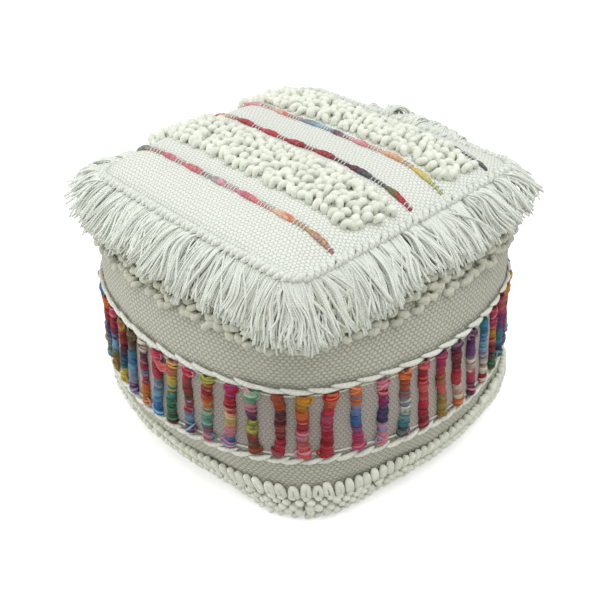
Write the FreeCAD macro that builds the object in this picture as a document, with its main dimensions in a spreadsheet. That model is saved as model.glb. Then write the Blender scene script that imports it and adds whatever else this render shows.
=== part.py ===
"""Wool pouf: a square crowned cushion whose wall swells to a near-round waist.

The origin lies on the floor under the centre of the pouf and +Z points up.
The front edge faces -Y, the stripes of the top run along X and the zip of the base runs along X.
All sizes are millimetres and are kept in the sheet.
"""
import FreeCAD, Part
import math
import os
import re

import Sketcher
from FreeCAD import Vector

# The sheet of sizes: name, value, what it is
SIZES = [
    # The cushion: a rounded square at six heights, each with its half width, corner radius and side bow
    ("edge_height", 360.0, "height of the seam round the top"),
    ("edge_half", 198.0, "half width of the top at the middle of an edge"),
    ("edge_corner", 25.0, "corner radius of the top"),
    ("edge_bow", 3.0, "how far the middle of a top edge bows out"),
    ("shoulder_drop", 55.0, "depth of the shoulder below the top seam"),
    ("shoulder_half", 232.0, "half width of the wall at the shoulder"),
    ("shoulder_corner", 80.0, "corner radius at the shoulder"),
    ("shoulder_bow", 11.0, "side bow at the shoulder"),
    ("upper_chain_height", 216.0, "height of the upper chain-stitch row"),
    ("chest_half", 264.0, "half width of the wall at the upper chain-stitch row"),
    ("chest_corner", 140.0, "corner radius at the upper chain-stitch row"),
    ("chest_bow", 23.0, "side bow at the upper chain-stitch row"),
    ("lower_chain_height", 106.0, "height of the lower chain-stitch row"),
    ("belly_half", 272.0, "half width of the wall at the lower chain-stitch row"),
    ("belly_corner", 150.0, "corner radius at the lower chain-stitch row"),
    ("belly_bow", 27.0, "side bow at the lower chain-stitch row"),
    ("foot_height", 30.0, "height of the foot, where the wall turns under"),
    ("foot_half", 240.0, "half width of the wall at the foot"),
    ("foot_corner", 105.0, "corner radius at the foot"),
    ("foot_bow", 10.5, "side bow at the foot"),
    ("floor_half", 216.0, "half width of the wall at the floor"),
    ("floor_corner", 80.0, "corner radius at the floor"),
    ("floor_bow", 3.0, "side bow at the floor"),
    ("crown_rise", 31.0, "height of the crown over the top seam"),
    ("crown_power", 4.5, "fullness of the crown, flat in the middle and round at the edges"),
    # The layers
    ("wall_lift", 0.4, "height of the wall's lower hem above the floor"),
    ("cloth_thickness", 3.0, "thickness of the woven wool"),
    ("liner_thickness", 1.0, "thickness of the liner"),
    ("layer_gap", 0.5, "clearance between two layers"),
    ("trim_gap", 0.3, "clearance between a trim and the cloth under it"),
    # The trims of the top
    ("pile_height", 9.0, "height of the looped pile"),
    ("pile_row", 13.0, "spacing of the rows of pile on the top"),
    ("pile_loop", 14.0, "spacing of the loops along a row"),
    ("pile_groove", 2.0, "width of the dip between two loops"),
    ("pile_dip", 5.0, "depth of the dip between two loops"),
    ("front_band_centre", -55.0, "place of the front loop band across the top"),
    ("front_band_width", 78.0, "width of the front loop band"),
    ("back_band_centre", 107.0, "place of the back loop band across the top"),
    ("back_band_width", 65.0, "width of the back loop band"),
    ("band_inset", 16.0, "distance from a loop band's end to the top seam"),
    ("stripe_inset", 7.0, "distance from a stripe's end to the top seam"),
    ("stripe_width", 8.0, "width of a colour stripe"),
    ("stripe_height", 2.6, "height of a colour stripe over the cloth"),
    ("stripe_one", -129.0, "place of the first stripe across the top"),
    ("stripe_two", 4.0, "place of the second stripe"),
    ("stripe_three", 61.0, "place of the third stripe"),
    ("stripe_four", 150.0, "place of the fourth stripe"),
    # The heading and its fringe
    ("braid_radius", 4.5, "radius of the plaited heading"),
    ("tassel_count", 30.0, "tassels on one edge"),
    ("tassel_width", 13.0, "width of a tassel where it fans out"),
    ("tassel_thickness", 5.0, "thickness of a tassel where it fans out"),
    ("fringe_drop", 74.0, "drop of the fringe's ends below the top seam"),
    ("fringe_lift", 5.0, "distance of the fringe's ends off the loops under them"),
    ("fringe_flare", 18.0, "how much further the fringe stands out at a corner"),
    # The trims of the wall
    ("upper_band_low", 264.0, "lower end of the wall's upper loop band"),
    ("upper_band_drop", 14.0, "distance of that band's upper end below the top seam"),
    ("lower_band_low", 3.0, "lower end of the loop band at the floor"),
    ("lower_band_high", 52.0, "upper end of the loop band at the floor"),
    ("wall_pile_row", 17.0, "spacing of the rows of pile on the wall"),
    ("chain_radius", 3.2, "radius of a chain-stitch row"),
    ("bar_count", 14.0, "wrapped bars on one side"),
    ("bar_width", 13.0, "width of a wrapped bar"),
    ("bar_thickness", 11.0, "thickness of a wrapped bar"),
    ("bar_knot", 1.4, "how far the knots at a bar's ends stand out"),
    ("bar_end_gap", 8.0, "distance from a bar's end to the chain-stitch row's middle"),
    # The base and its zip
    ("base_thickness", 2.5, "thickness of the base canvas"),
    ("seam_gap", 0.3, "clearance at a seam of the base"),
    ("zip_length", 300.0, "length of the zip's teeth"),
    ("zip_margin", 22.0, "length of the zip's slot beyond the teeth at each end"),
    ("slot_half", 16.0, "half width of the slot in the base"),
    ("hem_width", 8.0, "width of the folded hem beside the slot"),
    ("zip_height", 8.0, "height of the zip tape above the floor"),
    ("tape_thickness", 0.8, "thickness of the zip tape"),
    ("tape_edge", 2.2, "distance of the tape's edge from the middle of the zip"),
    ("cord_width", 1.2, "width of the cord that carries the teeth"),
    ("tooth_height", 2.4, "height of the teeth"),
    ("tooth_reach", 0.8, "how far a tooth reaches past the middle of the zip"),
    ("tooth_length", 1.4, "length of a tooth along the zip"),
    ("tooth_pitch", 4.0, "spacing of the teeth of one row"),
    ("stop_length", 4.0, "length of a zip stop"),
    ("slider_length", 13.0, "length of the slider"),
    ("slider_width", 11.0, "width of the slider"),
    ("slider_plate", 1.2, "thickness of the slider's plates and rims"),
    ("slider_clearance", 0.4, "clearance of the slider round the teeth and tape"),
    ("nose_length", 4.0, "length of the slider's nose with the wedge that parts the teeth"),
    ("wedge_half", 1.3, "half width of the wedge"),
    ("lug_length", 4.4, "length of the slider's lugs"),
    ("lug_height", 3.6, "height of the lugs under the slider"),
    ("lug_inner", 2.6, "distance of a lug's inner face from the middle"),
    ("lug_thickness", 1.3, "thickness of a lug"),
    ("pin_radius", 0.8, "radius of the pivot pin"),
    ("pin_clearance", 0.06, "clearance round the pivot pin"),
    ("pull_length", 24.0, "length of the pull from the pin to its far end's middle"),
    ("pull_width", 4.6, "width of the pull"),
    ("pull_thickness", 1.2, "thickness of the pull"),
    ("eye_radius", 1.5, "outer radius of the pull's eye on the pin"),
    ("pull_hole", 1.3, "radius of the hole near the pull's far end"),
]

doc = FreeCAD.newDocument("wool_pouf")
sheet = doc.addObject("Spreadsheet::Sheet", "sizes")
for row, (alias, value, note) in enumerate(SIZES, start=1):
    sheet.set("A%d" % row, note)
    sheet.set("B%d" % row, str(value))
    sheet.setAlias("B%d" % row, alias)
doc.recompute()

nodes = []


def size(alias):
    """Return a size of the sheet in millimetres."""
    return float(sheet.get(alias))


def bind(thing, prop, formula):
    """Bind a property of a document object to a formula whose words are names of the sheet."""
    thing.setExpression(prop, re.sub(r"[a-z]\w+", r"sizes.\g<0>", formula))


def bind_all(thing, **formulas):
    """Bind several properties; two underscores stand for the dot in a property's name."""
    for prop, formula in formulas.items():
        bind(thing, prop.replace("__", "."), formula)
    return thing


def node(thing, label):
    """Name a document object as one sub-part of the pouf."""
    thing.Label = label
    nodes.append(thing)
    return thing


def feature(name, shape):
    """Add a shape that is worked out from the sheet's values."""
    thing = doc.addObject("Part::Feature", name)
    thing.Shape = shape
    return thing


def box(name, **formulas):
    """Add a block bound to the sheet."""
    return bind_all(doc.addObject("Part::Box", name), **formulas)


def boolean(kind, name, base, tool):
    """Join two objects as a Part::Cut, Part::Common or Part::Fuse."""
    thing = doc.addObject("Part::" + kind, name)
    thing.Base = base
    thing.Tool = tool
    return thing


def joined(name, things):
    """Fuse several objects into one."""
    thing = doc.addObject("Part::MultiFuse", name)
    thing.Shapes = things
    return thing


# The cushion's plan at any height: four side arcs and four corner arcs that run into each other
def stations():
    """Return height, half width, corner radius and side bow where the sheet gives them."""
    edge = size("edge_height")
    places = [
        (0.0, "floor"),
        (size("foot_height"), "foot"),
        (size("lower_chain_height"), "belly"),
        (size("upper_chain_height"), "chest"),
        (edge - size("shoulder_drop"), "shoulder"),
        (edge, "edge"),
    ]
    return [(z, size(n + "_half"), size(n + "_corner"), size(n + "_bow")) for z, n in places]


def plan_at(height, offset=0.0):
    """Return half width, corner radius and bow at a height, on a smooth curve through the stations."""
    rows = stations()
    last = len(rows) - 1
    slopes = []
    for i in range(last + 1):
        low = rows[max(i - 1, 0)]
        high = rows[min(i + 1, last)]
        slopes.append([(high[k] - low[k]) / (high[0] - low[0]) for k in (1, 2, 3)])
    i = 0
    while i < last - 1 and height > rows[i + 1][0]:
        i += 1
    span = rows[i + 1][0] - rows[i][0]
    t = (height - rows[i][0]) / span
    result = []
    for k in (1, 2, 3):
        start = rows[i][k]
        end = rows[i + 1][k]
        value = (2 * t**3 - 3 * t**2 + 1) * start + (3 * t**2 - 2 * t**3) * end
        value += (t**3 - 2 * t**2 + t) * span * slopes[i][k - 1]
        value += (t**3 - t**2) * span * slopes[i + 1][k - 1]
        result.append(value)
    half, corner, bow = result
    return half + offset, corner + offset, bow


def arcs_of(plan):
    """Return the side arc's centre and radius, the corner arc's centre and where the two meet."""
    half, corner, bow = plan
    inner = half - bow - corner
    centre = ((half - corner) ** 2 - 2 * inner**2) / (2 * bow)
    radius = half - centre
    meet = math.atan2(inner, inner - centre)
    return centre, radius, inner, meet


def ring(plan, height):
    """Return the closed outline of a plan at a height."""
    half, corner, bow = plan
    centre, radius, inner, meet = arcs_of(plan)

    def on_side(angle):
        return (centre + radius * math.cos(angle), radius * math.sin(angle))

    middle = inner + corner * math.sqrt(0.5)
    start = on_side(-meet)
    end = on_side(meet)
    edges = []
    for quarter in range(4):
        turn = math.pi / 2 * quarter

        def place(point):
            x, y = point
            c = math.cos(turn)
            s = math.sin(turn)
            return Vector(x * c - y * s, x * s + y * c, height)

        edges.append(Part.Arc(place(start), place((half, 0.0)), place(end)).toShape())
        edges.append(Part.Arc(place(end), place((middle, middle)), place(end[::-1])).toShape())
    return Part.Wire(edges)


def on_ring(plan, height, share):
    """Return the point and outward direction at a share of the way round, from the middle of +X."""
    half, corner, bow = plan
    centre, radius, inner, meet = arcs_of(plan)
    side = radius * meet
    bend = corner * (math.pi / 2 - 2 * meet)
    quarter_length = 2 * side + bend
    way = (share % 1.0) * 4
    quarter = int(way)
    along = (way - quarter) * quarter_length
    turn = math.pi / 2 * quarter
    if along <= side:
        angle = along / radius
        x = centre + radius * math.cos(angle)
        y = radius * math.sin(angle)
    elif along <= side + bend:
        angle = meet + (along - side) / corner
        x = inner + corner * math.cos(angle)
        y = inner + corner * math.sin(angle)
    else:
        angle = math.pi / 2 - (quarter_length - along) / radius
        x = radius * math.cos(angle)
        y = centre + radius * math.sin(angle)
    c = math.cos(turn)
    s = math.sin(turn)
    point = Vector(x * c - y * s, x * s + y * c, height)
    outward = Vector(math.cos(angle + turn), math.sin(angle + turn), 0)
    return point, outward


# Solids of the cushion: the swollen wall and the crown over it, at a chosen distance from the cloth's face
def loft(name, outlines):
    """Loft a solid through closed outlines."""
    wires = []
    for i, outline in enumerate(outlines):
        wires.append(feature("%s_outline_%d" % (name, i), outline))
    thing = doc.addObject("Part::Loft", name)
    thing.Sections = wires
    thing.Solid = True
    thing.Ruled = False
    return thing


def ladder(low, high):
    """Return the heights of the outlines between two heights: three steps between any two stations."""
    heights = [low]
    rows = stations()
    for (start, *_), (end, *_) in zip(rows, rows[1:]):
        for step in (1, 2, 3):
            height = start + (end - start) * step / 3
            if low + 2 < height < high - 2:
                heights.append(height)
    heights.append(high)
    return heights


def wall_solid(name, offset, low, high):
    """Return the wall between two heights as a full solid."""
    return loft(name, [ring(plan_at(height, offset), height) for height in ladder(low, high)])


def crown_solid(name, offset):
    """Return the crown as a full solid that stands on the top seam."""
    half, corner, bow = plan_at(size("edge_height"), offset)
    rise = size("crown_rise") + offset
    outlines = []
    for share in (1.0, 0.95, 0.88, 0.76, 0.58, 0.3):
        height = size("edge_height") + rise * (1 - share ** size("crown_power"))
        outlines.append(ring((half * share, corner * share, bow * share), height))
    return loft(name, outlines)


def cushion_solid(name, offset, low):
    """Return the wall and crown as one full solid."""
    wall = wall_solid(name + "_wall", offset, low, size("edge_height"))
    crown = crown_solid(name + "_crown", offset)
    return boolean("Fuse", name, wall, crown)


edge_height = size("edge_height")
cloth = size("cloth_thickness")
gap = size("layer_gap")
trim = size("trim_gap")
base_thickness = size("base_thickness")

# The woven cover
wall_lift = size("wall_lift")
wall_outer = wall_solid("wall_outer", 0.0, wall_lift, edge_height)
wall_inner = wall_solid("wall_inner", -cloth, wall_lift, edge_height)
node(boolean("Cut", "side_wall", wall_outer, wall_inner), "side_wall")
crown_outer = crown_solid("crown_outer", 0.0)
crown_inner = crown_solid("crown_inner", -cloth)
node(boolean("Cut", "top_panel", crown_outer, crown_inner), "top_panel")

# The liner and its filling, with a groove over the zip
liner_offset = -cloth - gap
fill_offset = liner_offset - size("liner_thickness")
liner_low = base_thickness + gap
fill_low = liner_low + size("liner_thickness")


def groove(name, extra):
    """Return the block that keeps the filling clear of the zip."""
    return box(
        name,
        Length="2 * (zip_length / 2 + zip_margin + hem_width + %g)" % extra,
        Width="2 * (slot_half + hem_width + %g)" % extra,
        Height="zip_height + slider_width / 2 + %g" % extra,
        Placement__Base__x="-(zip_length / 2 + zip_margin + hem_width + %g)" % extra,
        Placement__Base__y="-(slot_half + hem_width + %g)" % extra,
    )


liner_outer = cushion_solid("liner_outer", liner_offset, liner_low)
liner_inner = cushion_solid("liner_inner", fill_offset, fill_low)
liner_groove = groove("liner_groove", gap)
fill_groove = groove("fill_groove", gap + size("liner_thickness"))
liner_shell = boolean("Cut", "liner_shell", liner_outer, liner_groove)
liner_hollow = boolean("Cut", "liner_hollow", liner_inner, fill_groove)
node(boolean("Cut", "liner", liner_shell, liner_hollow), "liner")
fill_body = cushion_solid("fill_body", fill_offset - gap, fill_low + gap)
spare_groove = groove("spare_groove", 2 * gap + size("liner_thickness"))
node(boolean("Cut", "filling", fill_body, spare_groove), "filling")


# Looped pile on the top: slabs that follow the crown, with dips between the loops
def crown_layer(name, low, high):
    """Return the layer between two distances above the crown's face."""
    return boolean("Cut", name, crown_solid(name + "_over", high), crown_solid(name + "_under", low))


def strip(name, centre, width, inset):
    """Return the block over one strip of the top, along X."""
    return box(
        name,
        Length="2 * (edge_half - edge_bow - %s)" % inset,
        Width=width,
        Height="2 * (crown_rise + pile_height)",
        Placement__Base__x="-(edge_half - edge_bow - %s)" % inset,
        Placement__Base__y="%s - (%s) / 2" % (centre, width),
        Placement__Base__z="edge_height",
    )


def pile_dips(name, band):
    """Return thin blocks over the dips between the rows and between the loops of a band."""
    centre = size(band + "_band_centre")
    width = size(band + "_band_width")
    half = size("edge_half") - size("edge_bow") - size("band_inset")
    dip = size("pile_groove")
    tall = 2 * (size("crown_rise") + size("pile_height"))
    rows = max(1, int(round(width / size("pile_row"))))
    loops = max(1, int(round(2 * half / size("pile_loop"))))
    blocks = []
    for i in range(1, rows):
        y = centre - width / 2 + width * i / rows - dip / 2
        blocks.append(Part.makeBox(2 * half + 2, dip, tall, Vector(-half - 1, y, edge_height)))
    for i in range(1, loops):
        x = -half + 2 * half * i / loops - dip / 2
        blocks.append(Part.makeBox(dip, width + 2, tall, Vector(x, centre - width / 2 - 1, edge_height)))
    grid = blocks[0].multiFuse(blocks[1:])
    return feature(name, grid)


pile = size("pile_height")
for band in ("front", "back"):
    layer = crown_layer("pile_layer_" + band, trim, pile)
    zone = strip("pile_zone_" + band, band + "_band_centre", band + "_band_width", "band_inset")
    slab = boolean("Common", "pile_slab_" + band, layer, zone)
    dip_layer = crown_layer("dip_layer_" + band, pile - size("pile_dip"), pile + 2)
    dips = boolean("Common", "pile_dips_" + band, dip_layer, pile_dips("dip_grid_" + band, band))
    node(boolean("Cut", "loop_band_" + band, slab, dips), "loop_band_top_" + band)

# The colour stripes of the top
for count, place in enumerate(("stripe_one", "stripe_two", "stripe_three", "stripe_four"), start=1):
    layer = crown_layer("stripe_layer_%d" % count, trim, size("stripe_height"))
    zone = strip("stripe_zone_%d" % count, place, "stripe_width", "stripe_inset")
    node(boolean("Common", "stripe_%d" % count, layer, zone), "colour_stripe_%d" % count)


# Round trims: cords that follow the wall at one height
def cord_ring(name, height, offset, radius, lift=0.0):
    """Return a closed cord round the wall."""
    plan = plan_at(height, offset)
    path = ring(plan, height + lift)
    first = path.Edges[0]
    start = first.valueAt(first.FirstParameter)
    tangent = first.tangentAt(first.FirstParameter)
    profile = Part.Wire(Part.makeCircle(radius, start, tangent))
    sweep = Part.BRepOffsetAPI.MakePipeShell(path)
    sweep.add(profile)
    sweep.setFrenetMode(True)
    sweep.build()
    sweep.makeSolid()
    return feature(name, sweep.shape())


chain = size("chain_radius")
for level in ("upper", "lower"):
    row = cord_ring("chain_" + level, size(level + "_chain_height"), chain + trim, chain)
    node(row, "chain_stitch_" + level)

braid = size("braid_radius")
braid_out = (braid + trim) * math.cos(math.radians(40)) + trim
braid_up = (braid + trim) * math.sin(math.radians(40)) + trim
node(cord_ring("braid", edge_height, braid_out, braid, braid_up), "edge_braid")


# Looped pile on the wall, with a dip between its rows
def wall_layer(name, low, high, start, end):
    """Return the layer between two distances off the wall and between two heights."""
    over = wall_solid(name + "_over", high, start, end)
    under = wall_solid(name + "_under", low, start, end)
    return boolean("Cut", name, over, under)


upper_band_high = edge_height - size("upper_band_drop")
for level, start, end in (
    ("upper", size("upper_band_low"), upper_band_high),
    ("floor", size("lower_band_low"), size("lower_band_high")),
):
    rows = max(1, int(round((end - start) / size("wall_pile_row"))))
    slab = wall_layer("wall_pile_" + level, 2 * trim, pile, start, end)
    cuts = []
    for i in range(1, rows):
        middle = start + (end - start) * i / rows
        low = middle - size("pile_groove") / 2
        high = middle + size("pile_groove") / 2
        cuts.append(wall_layer("wall_dip_%s_%d" % (level, i), pile - size("pile_dip"), pile + 3, low, high))
    dips = joined("wall_dips_" + level, cuts)
    node(boolean("Cut", "wall_loops_" + level, slab, dips), "loop_band_" + level)


# Tapered solids through flat many-sided outlines
def outline(centre, across, outward, half_width, half_thickness, sides):
    """Return a many-sided outline round a centre."""
    points = []
    for i in range(sides):
        angle = 2 * math.pi * (i + 0.5) / sides
        points.append(
            centre + across * (half_width * math.cos(angle)) + outward * (half_thickness * math.sin(angle))
        )
    return Part.makePolygon(points + points[:1])


def stack(outlines):
    """Return the solid through a row of outlines, with flat sides."""
    return Part.makeLoft(outlines, True, True)


# The fringe: tassels that fall from the heading over the upper loop band
up = Vector(0, 0, 1)
SIDE_NAMES = ("right", "back", "left", "front")


def tassel(share):
    """Return one tassel at a share of the way round the top."""
    half_width = size("tassel_width") / 2
    half_thick = size("tassel_thickness") / 2
    corner = abs(math.sin(2 * math.pi * share) * math.cos(2 * math.pi * share)) * 2
    flare = size("fringe_flare") * corner**6
    clear = pile + trim + half_thick + 0.6
    root = braid_out + braid + trim + half_thick
    drop = size("fringe_drop")
    lift = size("fringe_lift")
    stops = [
        (braid_up, root, 0.55, 0.8),
        (-drop * 0.25, max(root, clear), 0.8, 1.0),
        (-drop * 0.6, clear + lift * 0.5 + flare * 0.5, 0.95, 0.9),
        (-drop, clear + lift + flare, 1.0, 0.6),
    ]
    outlines = []
    for rise, offset, wide, thick in stops:
        height = edge_height + min(rise, 0.0)
        point, outward = on_ring(plan_at(height, offset), edge_height + rise, share)
        lean = (outward + up * 0.6).normalize()
        across = up.cross(outward)
        outlines.append(outline(point, across, lean, half_width * wide, half_thick * thick, 6))
    return stack(outlines)


per_edge = int(round(size("tassel_count")))
for quarter, side in enumerate(SIDE_NAMES):
    tassels = []
    for i in range(per_edge):
        tassels.append(tassel((quarter - 0.5 + (i + 0.5) / per_edge) / 4))
    node(feature("tassels_" + side, Part.makeCompound(tassels)), "fringe_" + side)


# The wrapped bars between the two chain-stitch rows
def bar(share):
    """Return one upright bar with a knot at each end."""
    low = size("lower_chain_height") + size("bar_end_gap")
    high = size("upper_chain_height") - size("bar_end_gap")
    half_width = size("bar_width") / 2
    half_thick = size("bar_thickness") / 2
    knot = size("bar_knot")
    offset = half_thick + knot + trim
    outlines = []
    for step, extra in ((0.0, -2.5), (0.05, knot), (0.13, 0.0), (0.87, 0.0), (0.95, knot), (1.0, -2.5)):
        height = low + (high - low) * step
        point, outward = on_ring(plan_at(height, offset), height, share)
        across = up.cross(outward)
        outlines.append(outline(point, across, outward, half_width + extra, half_thick + extra, 8))
    return stack(outlines)


per_side = int(round(size("bar_count")))
for quarter, side in enumerate(SIDE_NAMES):
    bars = []
    for i in range(per_side):
        bars.append(bar((quarter - 0.5 + (i + 0.5) / per_side) / 4))
    node(feature("bars_" + side, Part.makeCompound(bars)), "wrapped_bars_" + side)

# The base: two canvas halves with a folded hem along the slot for the zip
base_plan = plan_at(0.0, -cloth - size("seam_gap"))
base_outline = feature("base_outline", ring(base_plan, 0.0))
for side, sign in (("front", -1), ("rear", 1)):
    sheet_solid = doc.addObject("Part::Extrusion", "base_sheet_" + side)
    sheet_solid.Base = base_outline
    sheet_solid.DirMode = "Custom"
    sheet_solid.Dir = up
    sheet_solid.Solid = True
    bind(sheet_solid, "LengthFwd", "base_thickness")
    other = box(
        "base_other_" + side,
        Length="4 * floor_half",
        Width="2 * floor_half",
        Height="4 * base_thickness",
        Placement__Base__x="-2 * floor_half",
        Placement__Base__y="-seam_gap / 2" if sign < 0 else "seam_gap / 2 - 2 * floor_half",
        Placement__Base__z="-base_thickness",
    )
    slot = box(
        "base_slot_" + side,
        Length="zip_length + 2 * zip_margin",
        Width="2 * slot_half",
        Height="4 * base_thickness",
        Placement__Base__x="-(zip_length / 2 + zip_margin)",
        Placement__Base__y="-slot_half",
        Placement__Base__z="-base_thickness",
    )
    hem = box(
        "base_hem_" + side,
        Length="zip_length + 2 * zip_margin",
        Width="hem_width",
        Height="zip_height",
        Placement__Base__x="-(zip_length / 2 + zip_margin)",
        Placement__Base__y="-(slot_half + hem_width)" if sign < 0 else "slot_half",
    )
    half_sheet = boolean("Cut", "base_half_" + side, sheet_solid, joined("base_away_" + side, [other, slot]))
    node(boolean("Fuse", "base_" + side, half_sheet, hem), "base_panel_" + side)

# The zip: tapes, rows of teeth and stops
for side, sign in (("front", -1), ("rear", 1)):
    tape = box(
        "tape_" + side,
        Length="zip_length + 2 * zip_margin",
        Width="slot_half + hem_width - tape_edge",
        Height="tape_thickness",
        Placement__Base__x="-(zip_length / 2 + zip_margin)",
        Placement__Base__y="-(slot_half + hem_width)" if sign < 0 else "tape_edge",
        Placement__Base__z="zip_height",
    )
    node(tape, "zip_tape_" + side)



def rectangle(sketch, x_from, x_to, y_from, y_to):
    """Draw a rectangle whose four edges are bound to formulas of the sheet."""
    corners = [Vector(0, 0, 0), Vector(9, 0, 0), Vector(9, 9, 0), Vector(0, 9, 0)]
    first = sketch.GeometryCount
    for i in range(4):
        sketch.addGeometry(Part.LineSegment(corners[i], corners[(i + 1) % 4]), False)
    for i in range(4):
        sketch.addConstraint(Sketcher.Constraint("Coincident", first + i, 2, first + (i + 1) % 4, 1))
    for i, kind in enumerate(("Horizontal", "Vertical", "Horizontal", "Vertical")):
        sketch.addConstraint(Sketcher.Constraint(kind, first + i))
    for kind, line, end, formula in (
        ("DistanceX", 0, 1, x_from),
        ("DistanceX", 1, 1, x_to),
        ("DistanceY", 0, 1, y_from),
        ("DistanceY", 2, 1, y_to),
    ):
        index = sketch.addConstraint(Sketcher.Constraint(kind, -1, 1, first + line, end, 5.0))
        bind(sketch, "Constraints[%d]" % index, formula)


def flat_sketch(body, name, height):
    """Add a sketch that lies flat at a height given by a formula."""
    sketch = body.newObject("Sketcher::SketchObject", name)
    sketch.AttachmentSupport = [(body.Origin.OriginFeatures[3], "")]
    sketch.MapMode = "FlatFace"
    bind(sketch, "AttachmentOffset.Base.z", height)
    return sketch


def pad(body, name, sketch, length):
    """Pad a sketch upwards by a formula."""
    thing = body.newObject("PartDesign::Pad", name)
    thing.Profile = sketch
    bind(thing, "Length", length)
    sketch.Visibility = False
    return thing


def tooth_row(side, sign, shift):
    """Return one row of teeth on its cord, closed against the other row."""
    body = doc.addObject("PartDesign::Body", "teeth_" + side)
    start = "-zip_length / 2"
    end = "zip_length / 2 - nose_length - stop_length - 1"
    outer = "tape_edge - %s" % "slider_clearance / 8"
    inner = "(%s - cord_width)" % outer
    near = "-(%s)" % outer if sign < 0 else inner
    far = "-%s" % inner if sign < 0 else outer
    cord = flat_sketch(body, "tooth_cord_sketch_" + side, "zip_height - (tooth_height - tape_thickness) / 2")
    rectangle(cord, start, end, near, far)
    pad(body, "tooth_cord_" + side, cord, "tooth_height")
    tooth = flat_sketch(body, "tooth_sketch_" + side, "zip_height - (tooth_height - tape_thickness) / 2")
    first = "%s + tooth_pitch * %g" % (start, shift)
    if sign < 0:
        rectangle(tooth, first, first + " + tooth_length", "-" + inner, "tooth_reach")
    else:
        rectangle(tooth, first, first + " + tooth_length", "-tooth_reach", inner)
    one = pad(body, "tooth_" + side, tooth, "tooth_height")
    pattern = body.newObject("PartDesign::LinearPattern", "tooth_pattern_" + side)
    pattern.Originals = [one]
    pattern.Direction = (body.Origin.OriginFeatures[0], [""])
    run = size("zip_length") - size("nose_length") - size("stop_length") - 1 - size("tooth_length")
    count = int((run - 0.75 * size("tooth_pitch")) / size("tooth_pitch")) + 1
    pattern.Occurrences = count
    bind(pattern, "Length", "tooth_pitch * %d" % (count - 1))
    body.Tip = pattern
    return body


node(tooth_row("front", -1, 0.1), "zip_teeth_front")
node(tooth_row("rear", 1, 0.6), "zip_teeth_rear")

STOP_LOW = "zip_height - tooth_height / 2"
stop_end = box(
    "stop_open",
    Length="stop_length",
    Width="2 * (tape_edge - slider_clearance / 8)",
    Height="tape_thickness + tooth_height",
    Placement__Base__x="-(zip_length / 2 + stop_length + slider_clearance)",
    Placement__Base__y="-(tape_edge - slider_clearance / 8)",
    Placement__Base__z=STOP_LOW,
)
node(stop_end, "zip_stop_open")
stop_start = box(
    "stop_closed",
    Length="stop_length",
    Width="2 * (tape_edge - slider_clearance / 8)",
    Height="tape_thickness + tooth_height",
    Placement__Base__x="zip_length / 2 + slider_clearance",
    Placement__Base__y="-(tape_edge - slider_clearance / 8)",
    Placement__Base__z=STOP_LOW,
)
node(stop_start, "zip_stop_closed")

# The slider: two plates joined by a wedge, rims round the tape's edges and two lugs for the pull
PLATE_LOW = "(zip_height + tape_thickness / 2 - tooth_height / 2 - slider_clearance - slider_plate)"
INSIDE_LOW = "(zip_height + tape_thickness / 2 - tooth_height / 2 - slider_clearance)"
INSIDE_HEIGHT = "(tooth_height + 2 * slider_clearance)"
TAPE_LOW = "(zip_height - slider_clearance)"
TAPE_HEIGHT = "(tape_thickness + 2 * slider_clearance)"
SLIDER_START = "(zip_length / 2 - slider_length)"
NOSE_START = "(zip_length / 2 - nose_length)"
PIN_HEIGHT = "(%s - lug_height / 2)" % PLATE_LOW
LUG_START = "(zip_length / 2 - slider_length / 2 - lug_length / 2)"
PIN_PLACE = "(zip_length / 2 - slider_length / 2)"

slider_block = box(
    "slider_block",
    Length="slider_length",
    Width="slider_width",
    Height="%s + 2 * slider_plate" % INSIDE_HEIGHT,
    Placement__Base__x=SLIDER_START,
    Placement__Base__y="-slider_width / 2",
    Placement__Base__z=PLATE_LOW,
)
slider_hall = box(
    "slider_hall",
    Length="slider_length - nose_length + 1",
    Width="slider_width - 2 * slider_plate",
    Height=INSIDE_HEIGHT,
    Placement__Base__x=SLIDER_START + " - 1",
    Placement__Base__y="-(slider_width / 2 - slider_plate)",
    Placement__Base__z=INSIDE_LOW,
)
slider_tape_slots = []
slider_lanes = []
slider_lugs = []
for side, sign in (("front", -1), ("rear", 1)):
    slider_tape_slots.append(
        box(
            "slider_tape_slot_" + side,
            Length="slider_length + 2",
            Width="slider_width",
            Height=TAPE_HEIGHT,
            Placement__Base__x=SLIDER_START + " - 1",
            Placement__Base__y="-(slider_width + wedge_half)" if sign < 0 else "wedge_half",
            Placement__Base__z=TAPE_LOW,
        )
    )
    slider_lanes.append(
        box(
            "slider_lane_" + side,
            Length="nose_length + 2",
            Width="slider_width / 2 - slider_plate - wedge_half",
            Height=INSIDE_HEIGHT,
            Placement__Base__x=NOSE_START + " - 1",
            Placement__Base__y="-(slider_width / 2 - slider_plate)" if sign < 0 else "wedge_half",
            Placement__Base__z=INSIDE_LOW,
        )
    )
    slider_lugs.append(
        box(
            "slider_lug_" + side,
            Length="lug_length",
            Width="lug_thickness",
            Height="lug_height + slider_plate / 2",
            Placement__Base__x=LUG_START,
            Placement__Base__y="-(lug_inner + lug_thickness)" if sign < 0 else "lug_inner",
            Placement__Base__z="%s - lug_height" % PLATE_LOW,
        )
    )


def cross_cylinder(name, radius, half_length):
    """Return a cylinder on the pivot of the pull, along Y."""
    thing = doc.addObject("Part::Cylinder", name)
    thing.Placement = FreeCAD.Placement(Vector(), FreeCAD.Rotation(Vector(1, 0, 0), -90))
    return bind_all(
        thing,
        Radius=radius,
        Height="2 * (%s)" % half_length,
        Placement__Base__x=PIN_PLACE,
        Placement__Base__y="-(%s)" % half_length,
        Placement__Base__z=PIN_HEIGHT,
    )


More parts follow.
